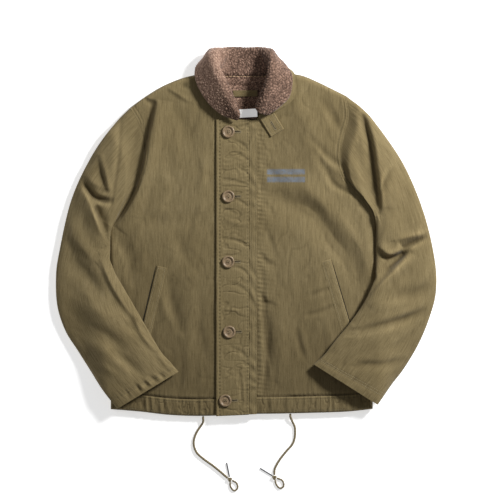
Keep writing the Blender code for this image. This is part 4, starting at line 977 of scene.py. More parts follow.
def flapSurface():
    """The flap: a turned edge, sunk rows of stitching, slow waves, slanting creases, and puckers at its edges."""
    s = flap
    x = s["left"] + np.unique(np.concatenate([[0, 0.3, 0.9, 1.8], np.linspace(3, 63, 52), [64.2, 65, 65.6, 66]]))
    up = np.linspace(0, 1, 400)
    low = hemAt(x)[None, :] - 0.5
    y = low + up[:, None] * (s["top"] - low)
    plan = np.stack([np.broadcast_to(x, y.shape), y], axis=2)
    fromLeft, fromRight = x - s["left"], s["left"] + s["width"] - x
    edge = (0.30 / 0.60 + 0.5 * rounded(fromLeft, 2.4)) * (0.72 + 0.28 * rounded(fromRight, 4)) * (1 - 0.10 * smoothStep(fromLeft, 5.5, 8.5))
    ends = rounded(y - low + 0.8, 3) * rounded(s["top"] - y + 1.2, 2.5)
    wave = 0.5 + 0.5 * np.sin(y / 33 + x / 20) * smoothStep(x, s["left"], s["left"] + 20) + 0.8 * bell(fromLeft, 12)
    dots = 0.55 + 0.45 * np.sin(y / 7.2 * 2 * math.pi + 0.6 * softNoise(y / 20, 0 * y, 69))
    sunk = 1.35 * bell(fromLeft - s["stitchAt"], 1.5) * dots + 0.8 * bell(fromRight - 3.2, 1.3) * dots
    loose = smoothStep(fromLeft, 7, 16) * rounded(y - low, 10)
    ripples = 0.5 * pucker(y, fromRight + 0 * y, 9, 61, 8.0) + 0.25 * pucker(y, fromLeft + 0 * y, 4, 63, 5.2)
    ripples = ripples + 0.5 * pucker(x + 0 * y, y - low, 10, 65, 6.0)
    cloth = (rumple(y, x + 0 * y, 67) * 0.55 + 1.9 * foldHeight(x + 0 * y, y, flapCreases) + 1.5 * wrinkles(x / 30 + 0 * y, y / 15, 68)) * loose
    top = flapBase + np.maximum(s["wall"] * edge * ends + wave + cloth + ripples * rounded(fromLeft, 3) - sunk, 0.5)
    return plan, top


def stripSurface():
    x = np.linspace(stripLeft, stripRight, 15)
    up = np.linspace(0, 1, 400)
    y = hemAt(x)[None, :] + up[:, None] * (flap["top"] - 1 - hemAt(x)[None, :])
    plan = np.stack([np.broadcast_to(x, y.shape), y], axis=2)
    share = (x - stripLeft) / (stripRight - stripLeft)
    form = 0.2 + 2.2 * rounded(share + 0.05, 0.25) * rounded(1.03 - share, 0.2)
    sunk = 0.6 * bell(x - stripLeft - 3.5, 1.3) + 0.7 * bell(stripRight - x - 2.6, 1.3)
    gather = np.sin(y / 4.3 + 2 * np.sin(y / 47) + 0.25 * (x - stripLeft) * softNoise(y / 30, 0 * y, 71))
    gather = gather * (0.62 + 0.38 * softNoise(y / 22, 0 * y + 2.2, 72)) * np.sin(math.pi * np.clip(share, 0.04, 0.96)) ** 0.5
    top = frontTop + np.maximum(form + 1.45 * gather - sunk + 0.3 * softNoise(x / 4 + 0 * y, y / 9, 73), -0.6)
    return plan, top


print("wind flap and strip")
flapPlan, flapTop = flapSurface()
stripPlan, stripTop = stripSurface()
surfaces["wind_flap"] = stack(flapPlan, flapTop)
surfaces["zip_strip"] = stack(stripPlan, stripTop)
flapUnder = flapBase + 1.1 * (1 - smoothStep(flapPlan[..., 0], flap["left"], flap["left"] + 7))
sheetPiece("wind_flap", surfaces["wind_flap"], stack(flapPlan, flapUnder), 7, shellCloth, "shell_cloth", flapPlan, crestWearAndCreaseShade(flapTop, 1.1, 5),
           flap)
sheetPiece("zip_strip", surfaces["zip_strip"], stack(stripPlan, frontBase), 7, shellCloth, "shell_cloth", stripPlan,
           crestWearAndCreaseShade(stripTop, 0.6, 4), strip)


# ---- sleeves
rightSleeve = {
    "name": "sleeve_right", "armhole": rightFront["armhole"], "side": rightFront["side"], "sideX": -273, "seed": 101, "hugsTo": (54, 74),
    "sections": [
        (-233.3, 242.2, -273.3, 0.1, 16.2, 0.0), (-264, 210, -274.0, -2, 18, 0.0), (-310, 146, -274.3, -14, 21, 0.0),
        (-351, 58, -274.6, -29, 22, 0.1), (-376, -50, -274.9, -50, 22, 0.55), (-382, -100, -264, -85, 22, 1.0),
        (-379, -156, -246, -117, 22, 1.0), (-363, -205, -217, -167, 21, 1.0), (-338, -245, -190, -214, 21, 1.0),
        (-312, -286, -170, -247, 20, 1.0), (-289, -321, -152, -267, 19, 1.0), (-258, -360, -136, -286, 18, 1.0),
    ],
    "shared": rightFront["shared"],
    "drapes": [
        ([(-300, 148), (-290, 108), (-280, 70)], 5, 14, -6.0), ([(-325, 90), (-308, 68), (-290, 57), (-274, 56)], 7, 6, -9.5),
        ([(-302, 46), (-290, 16), (-282, -10)], 12, 4.5, -6.5), ([(-334, 86), (-316, 54), (-296, 4), (-281, -36)], 5, 18, 5.5),
        ([(-356, 20), (-338, -20), (-308, -58)], 18, 11, 7.0), ([(-304, 190), (-298, 150), (-306, 112)], 12, 9, 3.6),
        ([(-330, 120), (-310, 96), (-288, 84)], 12, 6, 3.6), ([(-345, 110), (-352, 60), (-366, 10)], 14, 18, -2.6),
        ([(-356, -70), (-320, -96), (-282, -128), (-256, -160)], 20, 16, -5.5), ([(-366, -130), (-330, -150), (-290, -170), (-256, -176)], 14, 20, 3.6),
        ([(-290, -60), (-268, -112), (-238, -160), (-222, -174)], 9, 5, 5.0), ([(-224, -172), (-209, -208), (-184, -240)], 8, 5, 4.6),
        ([(-210, -190), (-198, -214), (-178, -240)], 4, 4, -2.4), ([(-178, -246), (-162, -268), (-144, -284)], 8, 5, 3.6),
        ([(-244, -188), (-230, -196), (-214, -204)], 9, 8, -4.0), ([(-318, -206), (-280, -216), (-236, -246)], 14, 18, -3.8),
        ([(-262, -248), (-236, -268), (-208, -292)], 10, 9, -4.2), ([(-292, -236), (-262, -260), (-236, -292)], 10, 12, 2.8),
        ([(-330, -232), (-306, -266), (-280, -306)], 12, 9, -3.0),
    ],
    "creases": [
        (-325, 87, -304, 58, 4, 4, 6, -1.6), (-304, 58, -273, 55, 3, 4, 6, -1.6), (-205, -70, -160, -180, 3, 4, 5, 1.2),
        (-350, -60, -300, -120, 6, 8, 10, -1.6), (-340, -120, -290, -170, 6, 8, 10, 1.5), (-320, -190, -250, -240, 8, 8, 10, -1.6),
        (-300, -270, -240, -310, 5, 7, 9, 1.4), (-366, 0, -330, -60, 4, 7, 9, 1.4), (-240, -180, -190, -210, 4, 6, 8, -1.5),
        (-173, -288, -160, -302, 1, 2.6, 3.6, -2.6), (-191, -295, -176, -309, 1, 2.6, 3.6, -2.6), (-205, -305, -193, -318, 1, 2.6, 3.6, -2.4),
        (-220, -312, -210, -327, 1, 2.6, 3.6, -2.6), (-240, -324, -231, -340, 1, 2.6, 3.6, -1.8), (-182, -292, -168, -303, 1, 3, 4, 1.8),
        (-200, -302, -188, -312, 1, 3, 4, 1.6), (-212, -312, -204, -322, 1, 3, 4, 1.6),
    ],
    "flat": (0.48, 0.44), "area": 0.148,
}
leftSleeve = {
    "name": "sleeve_left", "armhole": leftFront["armhole"], "side": leftFront["side"], "sideX": 257, "seed": 131, "hugsTo": (88, 110),
    "sections": [
        (199.3, 266.2, 261.3, 20.2, 16.2, 0.0), (233, 239, 261.6, 13.5, 19, 0.0), (258, 211, 261.5, 4, 22, 0.0),
        (313, 132, 261.3, -14, 24, 0.0), (354, 36, 261.1, -34, 25, 0.1), (377, -60, 260.9, -62, 25, 0.45),
        (380, -125, 257, -97, 24, 0.85), (367, -178, 236, -145, 23, 1.0), (345, -231, 205, -190, 22, 1.0),
        (316, -280, 175, -226, 22, 1.0), (289, -315, 156, -251, 21, 1.0), (262, -352, 134, -271, 20, 1.0),
    ],
    "shared": leftFront["shared"],
    "drapes": [
        ([(231, 230), (247, 166), (254, 113), (261, 64), (265, 26)], 4.5, 13, -9.0), ([(226, 160), (234, 118), (245, 78), (258, 40)], 18, 12, -8.0),
        ([(246, 226), (262, 170), (272, 100), (274, 40)], 28, 7, 6.0), ([(268, 70), (277, 92), (287, 114)], 5, 9, -4.4),
        ([(300, -22), (328, -14), (354, -9)], 10, 6, 6.0), ([(356, -17), (330, -30), (308, -40)], 5, 6, -7.0),
        ([(316, -48), (296, -62), (270, -84)], 9, 12, -17.0), ([(262, -34), (282, -50), (298, -48), (312, -36)], 11, 5, 11.0),
        ([(328, -48), (304, -76), (268, -114), (238, -150)], 16, 5, 6.5), ([(222, -206), (278, -190), (330, -174), (362, -160)], 6, 14, -4.6),
        ([(226, -218), (282, -204), (340, -184)], 9, 16, 3.4), ([(226, -271), (268, -270), (312, -262)], 6, 12, -3.6),
        ([(296, -136), (330, -128), (370, -114)], 12, 18, -4.0), ([(250, -150), (300, -150), (352, -146)], 12, 18, 3.0),
        ([(330, 80), (318, 30), (322, -4)], 14, 18, -2.6), ([(214, -196), (206, -190), (192, -196)], 4, 4, 2.0),
        ([(188, -212), (200, -204), (222, -200)], 4, 5, -2.4), ([(176, -226), (192, -218), (216, -216)], 4, 5, 2.2),
    ],
    "creases": [
        (213, -211, 301, -175, 6, 8, 10, -1.4), (229, -273, 289, -257, 4, 8, 10, -1.4),
        (362, -80, 320, -130, 6, 8, 10, 1.6), (350, -140, 290, -180, 6, 8, 10, 1.5), (330, -200, 270, -230, 5, 8, 10, 1.4),
        (320, 90, 300, 20, 6, 9, 11, -1.6), (290, 170, 292, 100, 5, 8, 10, 1.6), (350, 10, 330, -30, 4, 7, 9, 1.6),
        (176, -236, 164, -252, 2, 3, 4, -1.6), (196, -262, 186, -280, 2, 3, 4, -1.5), (218, -292, 208, -308, 2, 3, 4, -1.5),
        (240, -318, 232, -332, 2, 3, 4, -1.4),
    ],
    "flat": (0.48, 0.44), "area": 0.148,
}
sleeveWall = {"wall": 8.0, "slack": 2.0, "over": 20.6, "topPoints": 90, "underPoints": 26, "rings": 230, "innerRings": 16}


def sleeveBase(x, lift, sideX, reach=46):
    # 0 on the table, rising over the rounded side of the body where lift is 1
    return sleeveWall["over"] * smoothStep(np.abs(x), abs(sideX) + reach, abs(sideX) + 1) * lift


def sleeveSurfaces(s):
    """A flattened tube: each ring is a hump over the line between its two edges, and the first follows the armhole."""
    w = sleeveWall
    shares = 0.5 - 0.5 * np.cos(np.linspace(0, math.pi, w["topPoints"]))
    theta = np.concatenate([np.linspace(0, math.pi, w["topPoints"]), np.linspace(math.pi, 2 * math.pi, w["underPoints"] + 2)[1:-1]])
    share = 0.5 - 0.5 * np.cos(theta)
    rise = np.sin(theta).round(9)
    hump = np.where(rise > 0, np.abs(rise) ** 0.85, -np.abs(rise) ** 0.5)
    seamLine = curveThrough(s["armhole"], np.linspace(0, 1, 400))[::-1]
    where = np.linspace(0, 1, 400)
    seamAt = np.stack([np.interp(share, where, seamLine[:, k]) for k in (0, 1)], axis=1)
    straight = seamLine[0] + share[:, None] * (seamLine[-1] - seamLine[0])

    def ringsOf(count, outside):
        table = curveThrough(s["sections"], count)
        t = np.linspace(0, 1, count)[:, None]
        a, b = table[:, None, 0:2], table[:, None, 2:4]
        height, lift = table[:, 4:5], np.clip(table[:, 5:6], 0, 1)
        side = curveThrough(s["side"], 80)
        beside = np.interp(b[..., 1], side[:, 1], side[:, 0]) - 1.1 * np.sign(s["sideX"])
        below = s["armhole"][0][1] - b[..., 1]
        near = smoothStep(below, 0, 5) * (1 - smoothStep(-b[..., 1], *s["hugsTo"]))
        lift = np.maximum(lift, 0.42 * near)
        b = np.dstack([b[..., 0] + near * (beside - b[..., 0]), b[..., 1]])
        fade = (1 - smoothStep(t, 0, 0.3))[..., None]
        width = np.linalg.norm(b - a, axis=2)
        narrow = 1 if outside else 1 - 2 * w["wall"] / width
        nearArm = 1 - smoothStep(t, 0.0, 0.16)
        level = rounded(np.minimum(share, 1 - share)[None] * width, edgeRound)
        bulge = np.where(rise > 0, nearArm * level + (1 - nearArm) * np.clip(hump, 0, 1), hump)
        centre = (0.5 + (share[None] - 0.5) * narrow)[..., None]
        plan = a + centre * (b - a) + fade * (seamAt - straight)[None]
        x, y = plan[..., 0], plan[..., 1]
        base = sleeveBase(x, lift, s["sideX"])
        along = lengthAlong((a + b)[:, 0] / 2)[:, None]
        acrossMm = share[None] * width
        up = np.clip(bulge, 0, 1)
        free = smoothStep(t, 0, 0.014) * rounded(1 - t, 0.12) * up
        middle = 0.42 * height
        lowest = w["wall"] + w["slack"] / 3
        swell = drape(x, y, s["drapes"]) * free + drape(x, y, s["shared"]) * up * (1 - smoothStep(t, 0.25, 0.4))
        crest = np.maximum((height - middle) * bulge + swell, (lowest + 2.5 - middle) * bulge)
        z = np.where(rise > 0, middle + crest, middle + middle * hump)
        if outside:
            loose = smoothStep(t, 0, 0.03) * smoothStep(1 - t, 0, 0.02) * up**0.7
            small = foldHeight(x, y, s["creases"]) + rumple(acrossMm, along * 1.3, s["seed"]) * 1.05
            small += 0.5 * pucker(acrossMm, t * along[-1], 12, s["seed"] + 5, 9.0)
            fromCuff = (1 - t) * along[-1]
            small += 0.65 * pucker(acrossMm, fromCuff - 17, 9, s["seed"] + 7, 8.0) * smoothStep(fromCuff, 2, 9)
            z = z + small * loose - (0.9 * bell(fromCuff - 15, 1.5) + 0.7 * bell(fromCuff - 19.5, 1.5)) * up
            z = z - 0.35 * bell(t * along[-1], 2.0) * up
            over = np.where(rise > 0, base + up * (sleeveBase(x, lift, s["sideX"], 84) - base), base)
            return np.dstack([plan, over + z]), np.dstack([acrossMm + 0 * along, along + 0 * acrossMm])
        slack = np.clip(z - w["wall"] - lowest, 0, w["slack"]) + 0.8
        roof = lowest - w["slack"] / 3 + slack * up + 0.4
        floorZ = w["wall"] - 0.4 * np.abs(hump)
        return np.dstack([plan, base + np.where(rise > 0, roof, floorZ)]), np.dstack([acrossMm + 0 * along, along + 0 * acrossMm])

    outer, outerUv = ringsOf(w["rings"], True)
    inner, innerUv = ringsOf(w["innerRings"], False)
    return outer, inner, outerUv, innerUv


print("sleeves")
for s in (rightSleeve, leftSleeve):
    outer, inner, outerUv, innerUv = sleeveSurfaces(s)
    outer[..., 2] = np.maximum(outer[..., 2], 0)
    points, faces = closedTube(outer, inner)
    # painted light and shade: the right sleeve's forearm, which faces away from the light, is painted lighter, and the
    # left sleeve's forearm a little darker; the inside wall is a little darker
    forearmPaintedLight = smoothStep(-outer[..., 1], 40, 130) * (0.32 if s["sideX"] < 0 else -0.12)
    toneWearAndShade = np.clip(crests(outer[..., 2], 8) * 0.5 + forearmPaintedLight, -1, 1)
    toneWearAndShade[:, sleeveWall["topPoints"]:] = 0
    toneWearAndShade = np.concatenate([toneWearAndShade.reshape(-1), np.full(inner[..., 0].size, -0.2)])
    uv = np.vstack([outerUv.reshape(-1, 2), innerUv.reshape(-1, 2)])
    piece = addPiece(s["name"], points, faces, shellCloth, [s["name"]], "shell_cloth", uv, toneWearAndShade)
    surfaces[s["name"]] = outer[:, : sleeveWall["topPoints"]]


# ---- collar, with the pile facing outside the roll and the shell cloth inside it
collar = {
    # where it joins the neck, the ridge that it rolls over and its outer edge, each x, y, z
    "stations": [
        (-27, 227, 18.6, -15, 232, 35, -19, 217, 28), (-41, 240, 18.6, -26, 254, 43, -50, 228, 27),
        (-60, 262, 18.6, -36, 277, 47, -80, 256, 26), (-71, 287, 18.6, -46, 298, 50, -99, 290, 24),
        (-72, 303, 18.6, -56, 319, 51, -102, 316, 18), (-66, 311, 17, -62, 337, 47, -91, 333, 9),
        (-54, 311, 14.5, -57, 353, 33, -74, 344, 5.2), (-36, 309, 13.6, -38, 359, 16, -44, 328, 5.2),
        (0, 308, 13.4, 0, 358.5, 10, 0, 322, 5.2), (28, 309, 13.6, 30, 359, 16, 32, 328, 5.2),
        (48, 312, 14.5, 42, 353, 33, 53, 344, 5.2), (60, 314, 17, 47, 338, 47, 70, 334, 9),
        (69, 304, 18.6, 46, 318, 52, 87, 314, 18), (66, 287, 19.7, 42, 296, 51, 91, 291, 24),
        (56, 264, 20.1, 32, 268, 48, 84, 262, 26), (44, 246, 20.1, 24, 248, 42, 60, 238, 29),
        (36, 238, 19.6, 20, 238, 36, 40, 226, 30),
    ],
    "pile": 4.0, "under": 1.6, "curl": 2.9, "curlSize": 5.6, "stationsFine": 440, "around": 112,
    "flat": (0.12, 0.46), "area": 0.047,
}


def collarGrid(offset, stations, around, more=0.0):
    """Each cross-section is a leg up from the neck, a half circle over the roll and a leg down to the edge, all offset outwards."""
    line = curveThrough(collar["stations"], stations)
    neck, roll, edge = line[:, 0:3], line[:, 3:6], line[:, 6:9]
    middle = (neck + edge) / 2
    along = (roll - middle) / np.linalg.norm(roll - middle, axis=1, keepdims=True)
    across = (edge - neck) - np.sum((edge - neck) * along, axis=1, keepdims=True) * along
    radius = np.linalg.norm(across, axis=1, keepdims=True) / 2
    across = across / (2 * radius)
    centre = roll - along * radius
    first, last = centre - across * radius, centre + across * radius
    rise = np.maximum(np.sum((first - neck) * along, axis=1), 0)[:, None, None]
    fall = (np.maximum(np.sum((last - edge) * along, axis=1), 0) + more)[:, None, None]
    up, down = np.linspace(1, 0, around // 3, endpoint=False), np.linspace(0, 1, around // 3 + 1)[1:]
    angle = np.linspace(0, math.pi, around - 2 * (around // 3))[None, :, None]
    offset = np.broadcast_to(np.asarray(offset, float), (stations, around))[..., None]
    a, b = len(up), around - len(down)
    A, C = along[:, None], across[:, None]
    legUp = first[:, None] - C * offset[:, :a] - A * rise * up[None, :, None]
    turn = centre[:, None] + (radius[:, None] + offset[:, a:b]) * (A * np.sin(angle) - C * np.cos(angle))
    legDown = last[:, None] + C * offset[:, b:] - A * fall * down[None, :, None]
    return np.concatenate([legUp, turn, legDown], axis=1)


print("collar")
s = collar
stations, around = s["stationsFine"], s["around"]
base = collarGrid(seam / 2 + s["pile"] / 2, stations, around)
fromStart, _, _, _ = fromEdges(base[..., :])
fromNeck, fromOuter, fromEndA, fromEndB = fromEdges(base)
rim = rounded(fromOuter + 0.4, 5) * rounded(fromNeck + 1.0, 4) * rounded(np.minimum(fromEndA, fromEndB) + 0.5, 5)
curlHeight = curls(base, s["curlSize"], 5)
fineCurl = curls(base, s["curlSize"] * 0.55, 6)
height = 0.72 * curlHeight + 0.28 * fineCurl
sag = 1.1 * softNoise(fromEndA / 28, fromNeck / 22, 81)
offset = seam / 2 + 0.5 + (s["pile"] - 0.9) * rim + s["curl"] * (height - 0.45) * (0.4 + 0.6 * rim) + sag * rim
facing = collarGrid(offset, stations, around)
facing[..., 2] = np.maximum(facing[..., 2], 0.6)
lining = collarGrid(seam / 2, stations, around)
back = (curveThrough(s["stations"], stations)[:, 1] > 306)[:, None] * (facing[:, 0] - facing[:, 3])
back /= np.maximum(np.linalg.norm(back, axis=1, keepdims=True), 1e-6)
reach = 1.7 + 2.2 * smoothStep(np.abs(facing[:, 0, :1]), 14, 34)
facing[:, 0] += back * reach
lining[:, 0] += back * reach
points, faces = closedPanel(facing, lining, 7)
# painted light: the leaf on the wearer's right faces away from the key light, so its tone is raised by up to 0.36 to
# paint it lighter
paintedLightOnRightLeaf = height + 0.36 * smoothStep(-facing[..., 0], 26, 60)
toneWearAndShade = np.concatenate([paintedLightOnRightLeaf.reshape(-1), np.full(len(points) - height.size, 0.4)])
collarPiece = addPiece("collar_facing", points, faces, collarPile, ["collar_facing"], "collar_pile", None, toneWearAndShade)

# the cloth looks out past the pile along the outer edge on the wearer's left
line = curveThrough(s["stations"], 120)
peek = (4.5 + 8.5 * smoothStep(line[:, 6], 56, 84)) * smoothStep(line[:, 6], 44, 60) * (1 - smoothStep(line[:, 7], 320, 334)) + 0.4
outside = collarGrid(-seam / 2, 120, 30, peek)
inside = collarGrid(-seam / 2 - s["under"], 120, 30, peek)
underAt = seatOn(surfaces["front_left"])
low = underAt(outside[..., 0], outside[..., 1])
onFront = (outside[..., 0] > 48) & (outside[..., 1] < 316) & (np.arange(30) >= 20)
outside[..., 2] = np.where(onFront, np.maximum(outside[..., 2], low + 2.5), outside[..., 2])
inside[..., 2] = np.where(onFront, np.maximum(inside[..., 2], low + 0.7), inside[..., 2])
points, faces = closedPanel(outside, inside, 4)
uv = np.zeros((len(points), 2))
uv[: outside[..., 0].size] = np.dstack([fromEdges(outside)[0], fromEdges(outside)[2]]).reshape(-1, 2)
underPiece = addPiece("collar_under", points, faces, shellCloth, ["collar_under"], "shell_cloth", uv, np.zeros(len(points)))


# ---- lining, hanger loop, label, latch and welts
neckLining = {
    "right": [(-8, 219.5), (-20, 224), (-41, 241), (-58, 262), (-66, 281), (-65, 298), (-62, 306.6)],
    "left": [(18.5, 219.5), (26.5, 235), (41, 252), (54.5, 269), (62.5, 287), (65, 300), (60, 306.6)],
    "wall": 2.8, "ridge": 3.0, "curlSize": 4.0, "flat": (0.135, 0.085), "area": 0.0083,
}
print("neck lining")
s = neckLining
right, left = curveThrough(s["right"], 70), curveThrough(s["left"], 70)
across = np.linspace(0, 1, 90)[None, :, None]
plan = (1 - across) * right[:, None] + across * left[:, None]
x, y = plan[..., 0], plan[..., 1]
ridge = s["ridge"] * smoothStep(y, 288, 299) * (1 - 0.5 * smoothStep(y, 303.5, 306.6)) - 2.2 * bell(y - 287, 2.2) - 1.5 * bell(y - 300.5, 1.3)
flatTop = bodyWall + seam + s["wall"] + ridge
curl = curls(stack(plan, flatTop * 0.6), s["curlSize"], 9)
top = flatTop + 1.5 * (curl - 0.5) + 0.5 * softNoise(x / 14, y / 11, 91)
liningGrid = stack(plan, top)
points, faces = closedPanel(liningGrid, stack(plan, bodyWall + seam), 7)
toneWearAndShade = np.concatenate([curl.reshape(-1), np.full(len(points) - curl.size, 0.3)])
liningPiece = addPiece("neck_lining", points, faces, liningPile, ["neck_lining"], "collar_pile", None, toneWearAndShade)

straps = {
    "latch": {"from": (36.5, 233), "to": (62, 191), "width": 31, "wall": 3.3},
    "hanger": {"from": (-27, 270), "to": (22, 271), "width": 12.5, "wall": 1.6, "arch": 1.2},
    "label": {"from": (-14, 230.2), "to": (21.5, 232.2), "width": 16.5, "wall": 0.8},
    "rightWelt": {"from": (-169, -77), "to": (-207, -234), "width": 20, "wall": 1.8, "mouth": -1},
    "leftWelt": {"from": (159, -64), "to": (205, -219), "width": 20, "wall": 1.8, "mouth": 1},
}


def strapFrame(s, rows, columns, inset=0.0):
    # a rectangle of points along the strap, with its distance from each edge
    start, end = np.array(s["from"], float), np.array(s["to"], float)
    length = np.linalg.norm(end - start)
    run = (end - start) / length
    side = np.array([-run[1], run[0]])
    t, w = rimShares(rows, True, True), rimShares(columns, True, True) - 0.5
    plan = start + t[:, None, None] * (end - start) + w[None, :, None] * s["width"] * side
    fromEnds = np.minimum(t, 1 - t)[:, None] * length + 0 * w[None, :]
    fromSides = (0.5 - np.abs(w))[None, :] * s["width"] + 0 * t[:, None]
    return plan, fromEnds, fromSides


def strapLines(s, inset, endInset=None):
    # the corners of a row of stitches that runs round a strap, that far in from its edges
    start, end = np.array(s["from"], float), np.array(s["to"], float)
    run = (end - start) / np.linalg.norm(end - start)
    side = np.array([-run[1], run[0]])
    reach = s["width"] / 2 - inset
    endInset = inset if endInset is None else endInset
    a, b = start + run * endInset, end - run * endInset
    return [a + side * reach, b + side * reach, b - side * reach, a - side * reach]


def straightRows(corners, which=(0, 1, 2, 3)):
    return [[corners[k], corners[(k + 1) % 4]] for k in which]


def addStrap(name, s, under, finish, slot, spacing=1.2, stitchInset=2.6, waves=0.25, seed=0):
    """A doubled strap: its edges are rounded over, its row of stitching is sunk and its cloth waves a little."""
    length = math.dist(s["from"], s["to"])
    plan, fromEnds, fromSides = strapFrame(s, int(length / spacing), int(s["width"] / spacing))
    x, y = plan[..., 0], plan[..., 1]
    low = under(x, y)
    fromEdge = np.minimum(fromEnds, fromSides)
    form = 0.45 + 0.55 * rounded(fromEdge, min(2.0, s["width"] / 6))
    if "mouth" in s:  # it thins out toward the edge that is sewn down
        toMouth = s["mouth"] * (rimShares(int(s["width"] / spacing), True, True) - 0.5)[None, :]
        form = form * (0.25 + 0.75 * smoothStep(toMouth, -0.5, 0.2))
    sunk = 0.22 * s["wall"] * bell(fromEdge - stitchInset, 0.8)
    soft = waves * (softNoise(x / 7, y / 9, seed) + 0.5 * softNoise(x / 3, y / 4, seed + 1)) * rounded(fromEdge, 3)
    top = low + np.maximum(s["wall"] * form - sunk + soft, 0.3)
    run = np.dstack([fromSides, fromEnds])
    grid = stack(plan, top)
    points, faces = closedPanel(grid, stack(plan, low), 5)
    rows, columns = evenly(grid.shape[0], 5), evenly(grid.shape[1], 5)
    uv = np.vstack([run.reshape(-1, 2), run[np.ix_(rows, columns)].reshape(-1, 2)])
    # lighter along the rounded edges, plus wear on the crests and painted shade in the creases
    toneWearAndShade = 0.95 * (1 - rounded(fromEdge, 2.4)) + crestWearAndCreaseShade(top, 0.8, 4)
    toneWearAndShade = np.concatenate([toneWearAndShade.reshape(-1), np.zeros(len(points) - toneWearAndShade.size)])
    piece = addPiece(name, points, faces, finish, [name], slot, uv, np.clip(toneWearAndShade, -1, 1))
    return grid


print("straps")
onRight, onLeft = seatOn(surfaces["front_right"]), seatOn(surfaces["front_left"])


def smoothedUnder(heightAt, lift):
    # a strap bridges the small ripples of the cloth under it, so it reads a local mean of the height
    def under(x, y):
        near = [heightAt(x + dx, y + dy) for dx, dy in ((0, 0), (4, 0), (-4, 0), (0, 4), (0, -4), (7, 7), (-7, 7), (7, -7), (-7, -7))]
        return np.mean(near, axis=0) + lift
    return under


rightWelt = addStrap("welt_right", straps["rightWelt"], smoothedUnder(onRight, 0.2), shellCloth, "shell_cloth",
                     stitchInset=3.2, seed=201)
leftWelt = addStrap("welt_left", straps["leftWelt"], smoothedUnder(onLeft, 0.2), shellCloth, "shell_cloth",
                    stitchInset=3.2, seed=205)
latchTop = addStrap("throat_latch", straps["latch"], smoothedUnder(onLeft, 0.9), shellCloth, "shell_cloth",
                    stitchInset=4.0, waves=0.35, seed=209)
liningTop = bodyWall + seam + neckLining["wall"] + seam


def archUnder(x, y):
    h = straps["hanger"]
    return liningTop + 0.5 + h["arch"] * np.sin(math.pi * smoothStep(x, h["from"][0], h["to"][0]))


hangerTop = addStrap("hanger_loop", straps["hanger"], archUnder, shellCloth, "shell_cloth", 0.9, 1.8, 0.15, 213)
labelTop = addStrap("neck_label", straps["label"], lambda x, y: np.full_like(x, liningTop + 0.3), labelCloth, "white_label", 0.9,
                    1.4, 0.2, 217)

print("stitching")
onFlap, onStrip = seatOn(surfaces["wind_flap"]), seatOn(surfaces["zip_strip"], 2.4)
onHemRight, onHemLeft = seatOn(surfaces["hem_front_right"]), seatOn(surfaces["hem_front_left"])
onSleeveRight, onSleeveLeft = seatOn(surfaces["sleeve_right"], 3.0), seatOn(surfaces["sleeve_left"], 3.0)


def gridLine(grid, row=None, column=None, every=8):
    line = grid[row] if row is not None else grid[:, column]
    return [tuple(p) for p in line[evenly(len(line), every), :2]]


def insetLine(line, inset):
    # the line moved sideways to its left by inset
    points = np.array(line, float)
    run = np.gradient(points, axis=0)
    run /= np.linalg.norm(run, axis=1, keepdims=True)
    return points + np.stack([-run[:, 1], run[:, 0]], axis=1) * inset


flapLeft, flapRight = flap["left"], flap["left"] + flap["width"]
addStitches("stitching_flap", [
    [(flapLeft + 7, hemAt(flapLeft + 7) + 3), (flapLeft + 7, flap["top"] - 3)],
    [(flapRight - 3.2, hemAt(0.0) + 3), (flapRight - 3.2, flap["top"] - 3)],
    [(flapLeft + 3, flap["top"] - 3.5), (flapRight - 2, flap["top"] - 3.5)],
    [(flapLeft + 4, hemAt(flapLeft) + 4), (flapRight - 2, hemAt(flapRight) + 4)],
], onFlap)
addStitches("stitching_strip", [
    [(stripLeft + 3.5, hemAt(9.0) + 3), (stripLeft + 3.5, flap["top"] - 4)],
    [(stripRight - 2.6, hemAt(17.0) + 3), (stripRight - 2.6, flap["top"] - 4)],
], onStrip)
for name, heightAt, s in (("stitching_hem_right", onHemRight, hemPieces["hem_front_right"]), ("stitching_hem_left", onHemLeft, hemPieces["hem_front_left"])):
    xs = np.linspace(s["from"] + 6 * np.sign(s["to"] - s["from"]), s["to"] - 3, 24)
    addStitches(name, [[(float(a), float(hemAt(a)) + up) for a in xs] for up in (5.5, 28.5)], heightAt)
for name, heightAt, s, sign in (("stitching_armhole_right", onRight, rightFront, 1), ("stitching_armhole_left", onLeft, leftFront, -1)):
    line = curveThrough(s["armhole"], 60)[4:-3]
    addStitches(name, [insetLine(line, -3.0 * -sign * -1), insetLine(line, -9.0 * -sign * -1)], heightAt)

for name, heightAt in (("sleeve_right", onSleeveRight), ("sleeve_left", onSleeveLeft)):
    grid = surfaces[name]
    fromCuff = lengthAlong(grid[::-1, 45])
    rows = [len(grid) - 1 - int(np.searchsorted(fromCuff, reach)) for reach in (15.0, 19.5)]
    addStitches(name.replace("sleeve", "stitching_cuff"), [gridLine(grid[:, 6:-6], row=k, every=4) for k in rows], heightAt,
                finish=paleThread if name == "sleeve_left" else threadFinish)

addStitches("stitching_neck", [[(-50, 304.3), (-20, 304.6), (10, 304.3), (42, 304.6)]], seatOn(liningGrid),
            {"length": 5.0, "pitch": 6.6, "width": 2.6, "height": 2.4}, neckThread, "collar_pile")

straightPieces = [
    ("stitching_latch", seatOn(latchTop), straps["latch"], 4.0), ("stitching_hanger", seatOn(hangerTop), straps["hanger"], 1.8),
    ("stitching_welt_right", seatOn(rightWelt), straps["rightWelt"], 3.2), ("stitching_welt_left", seatOn(leftWelt), straps["leftWelt"], 3.2),
]
for name, heightAt, s, inset in straightPieces:
    finish = threadFinish if name == "stitching_hanger" else paleThread
    addStitches(name, straightRows(strapLines(s, inset)), heightAt, {**stitch, "pitch": 3.0, "length": 2.3}, finish)


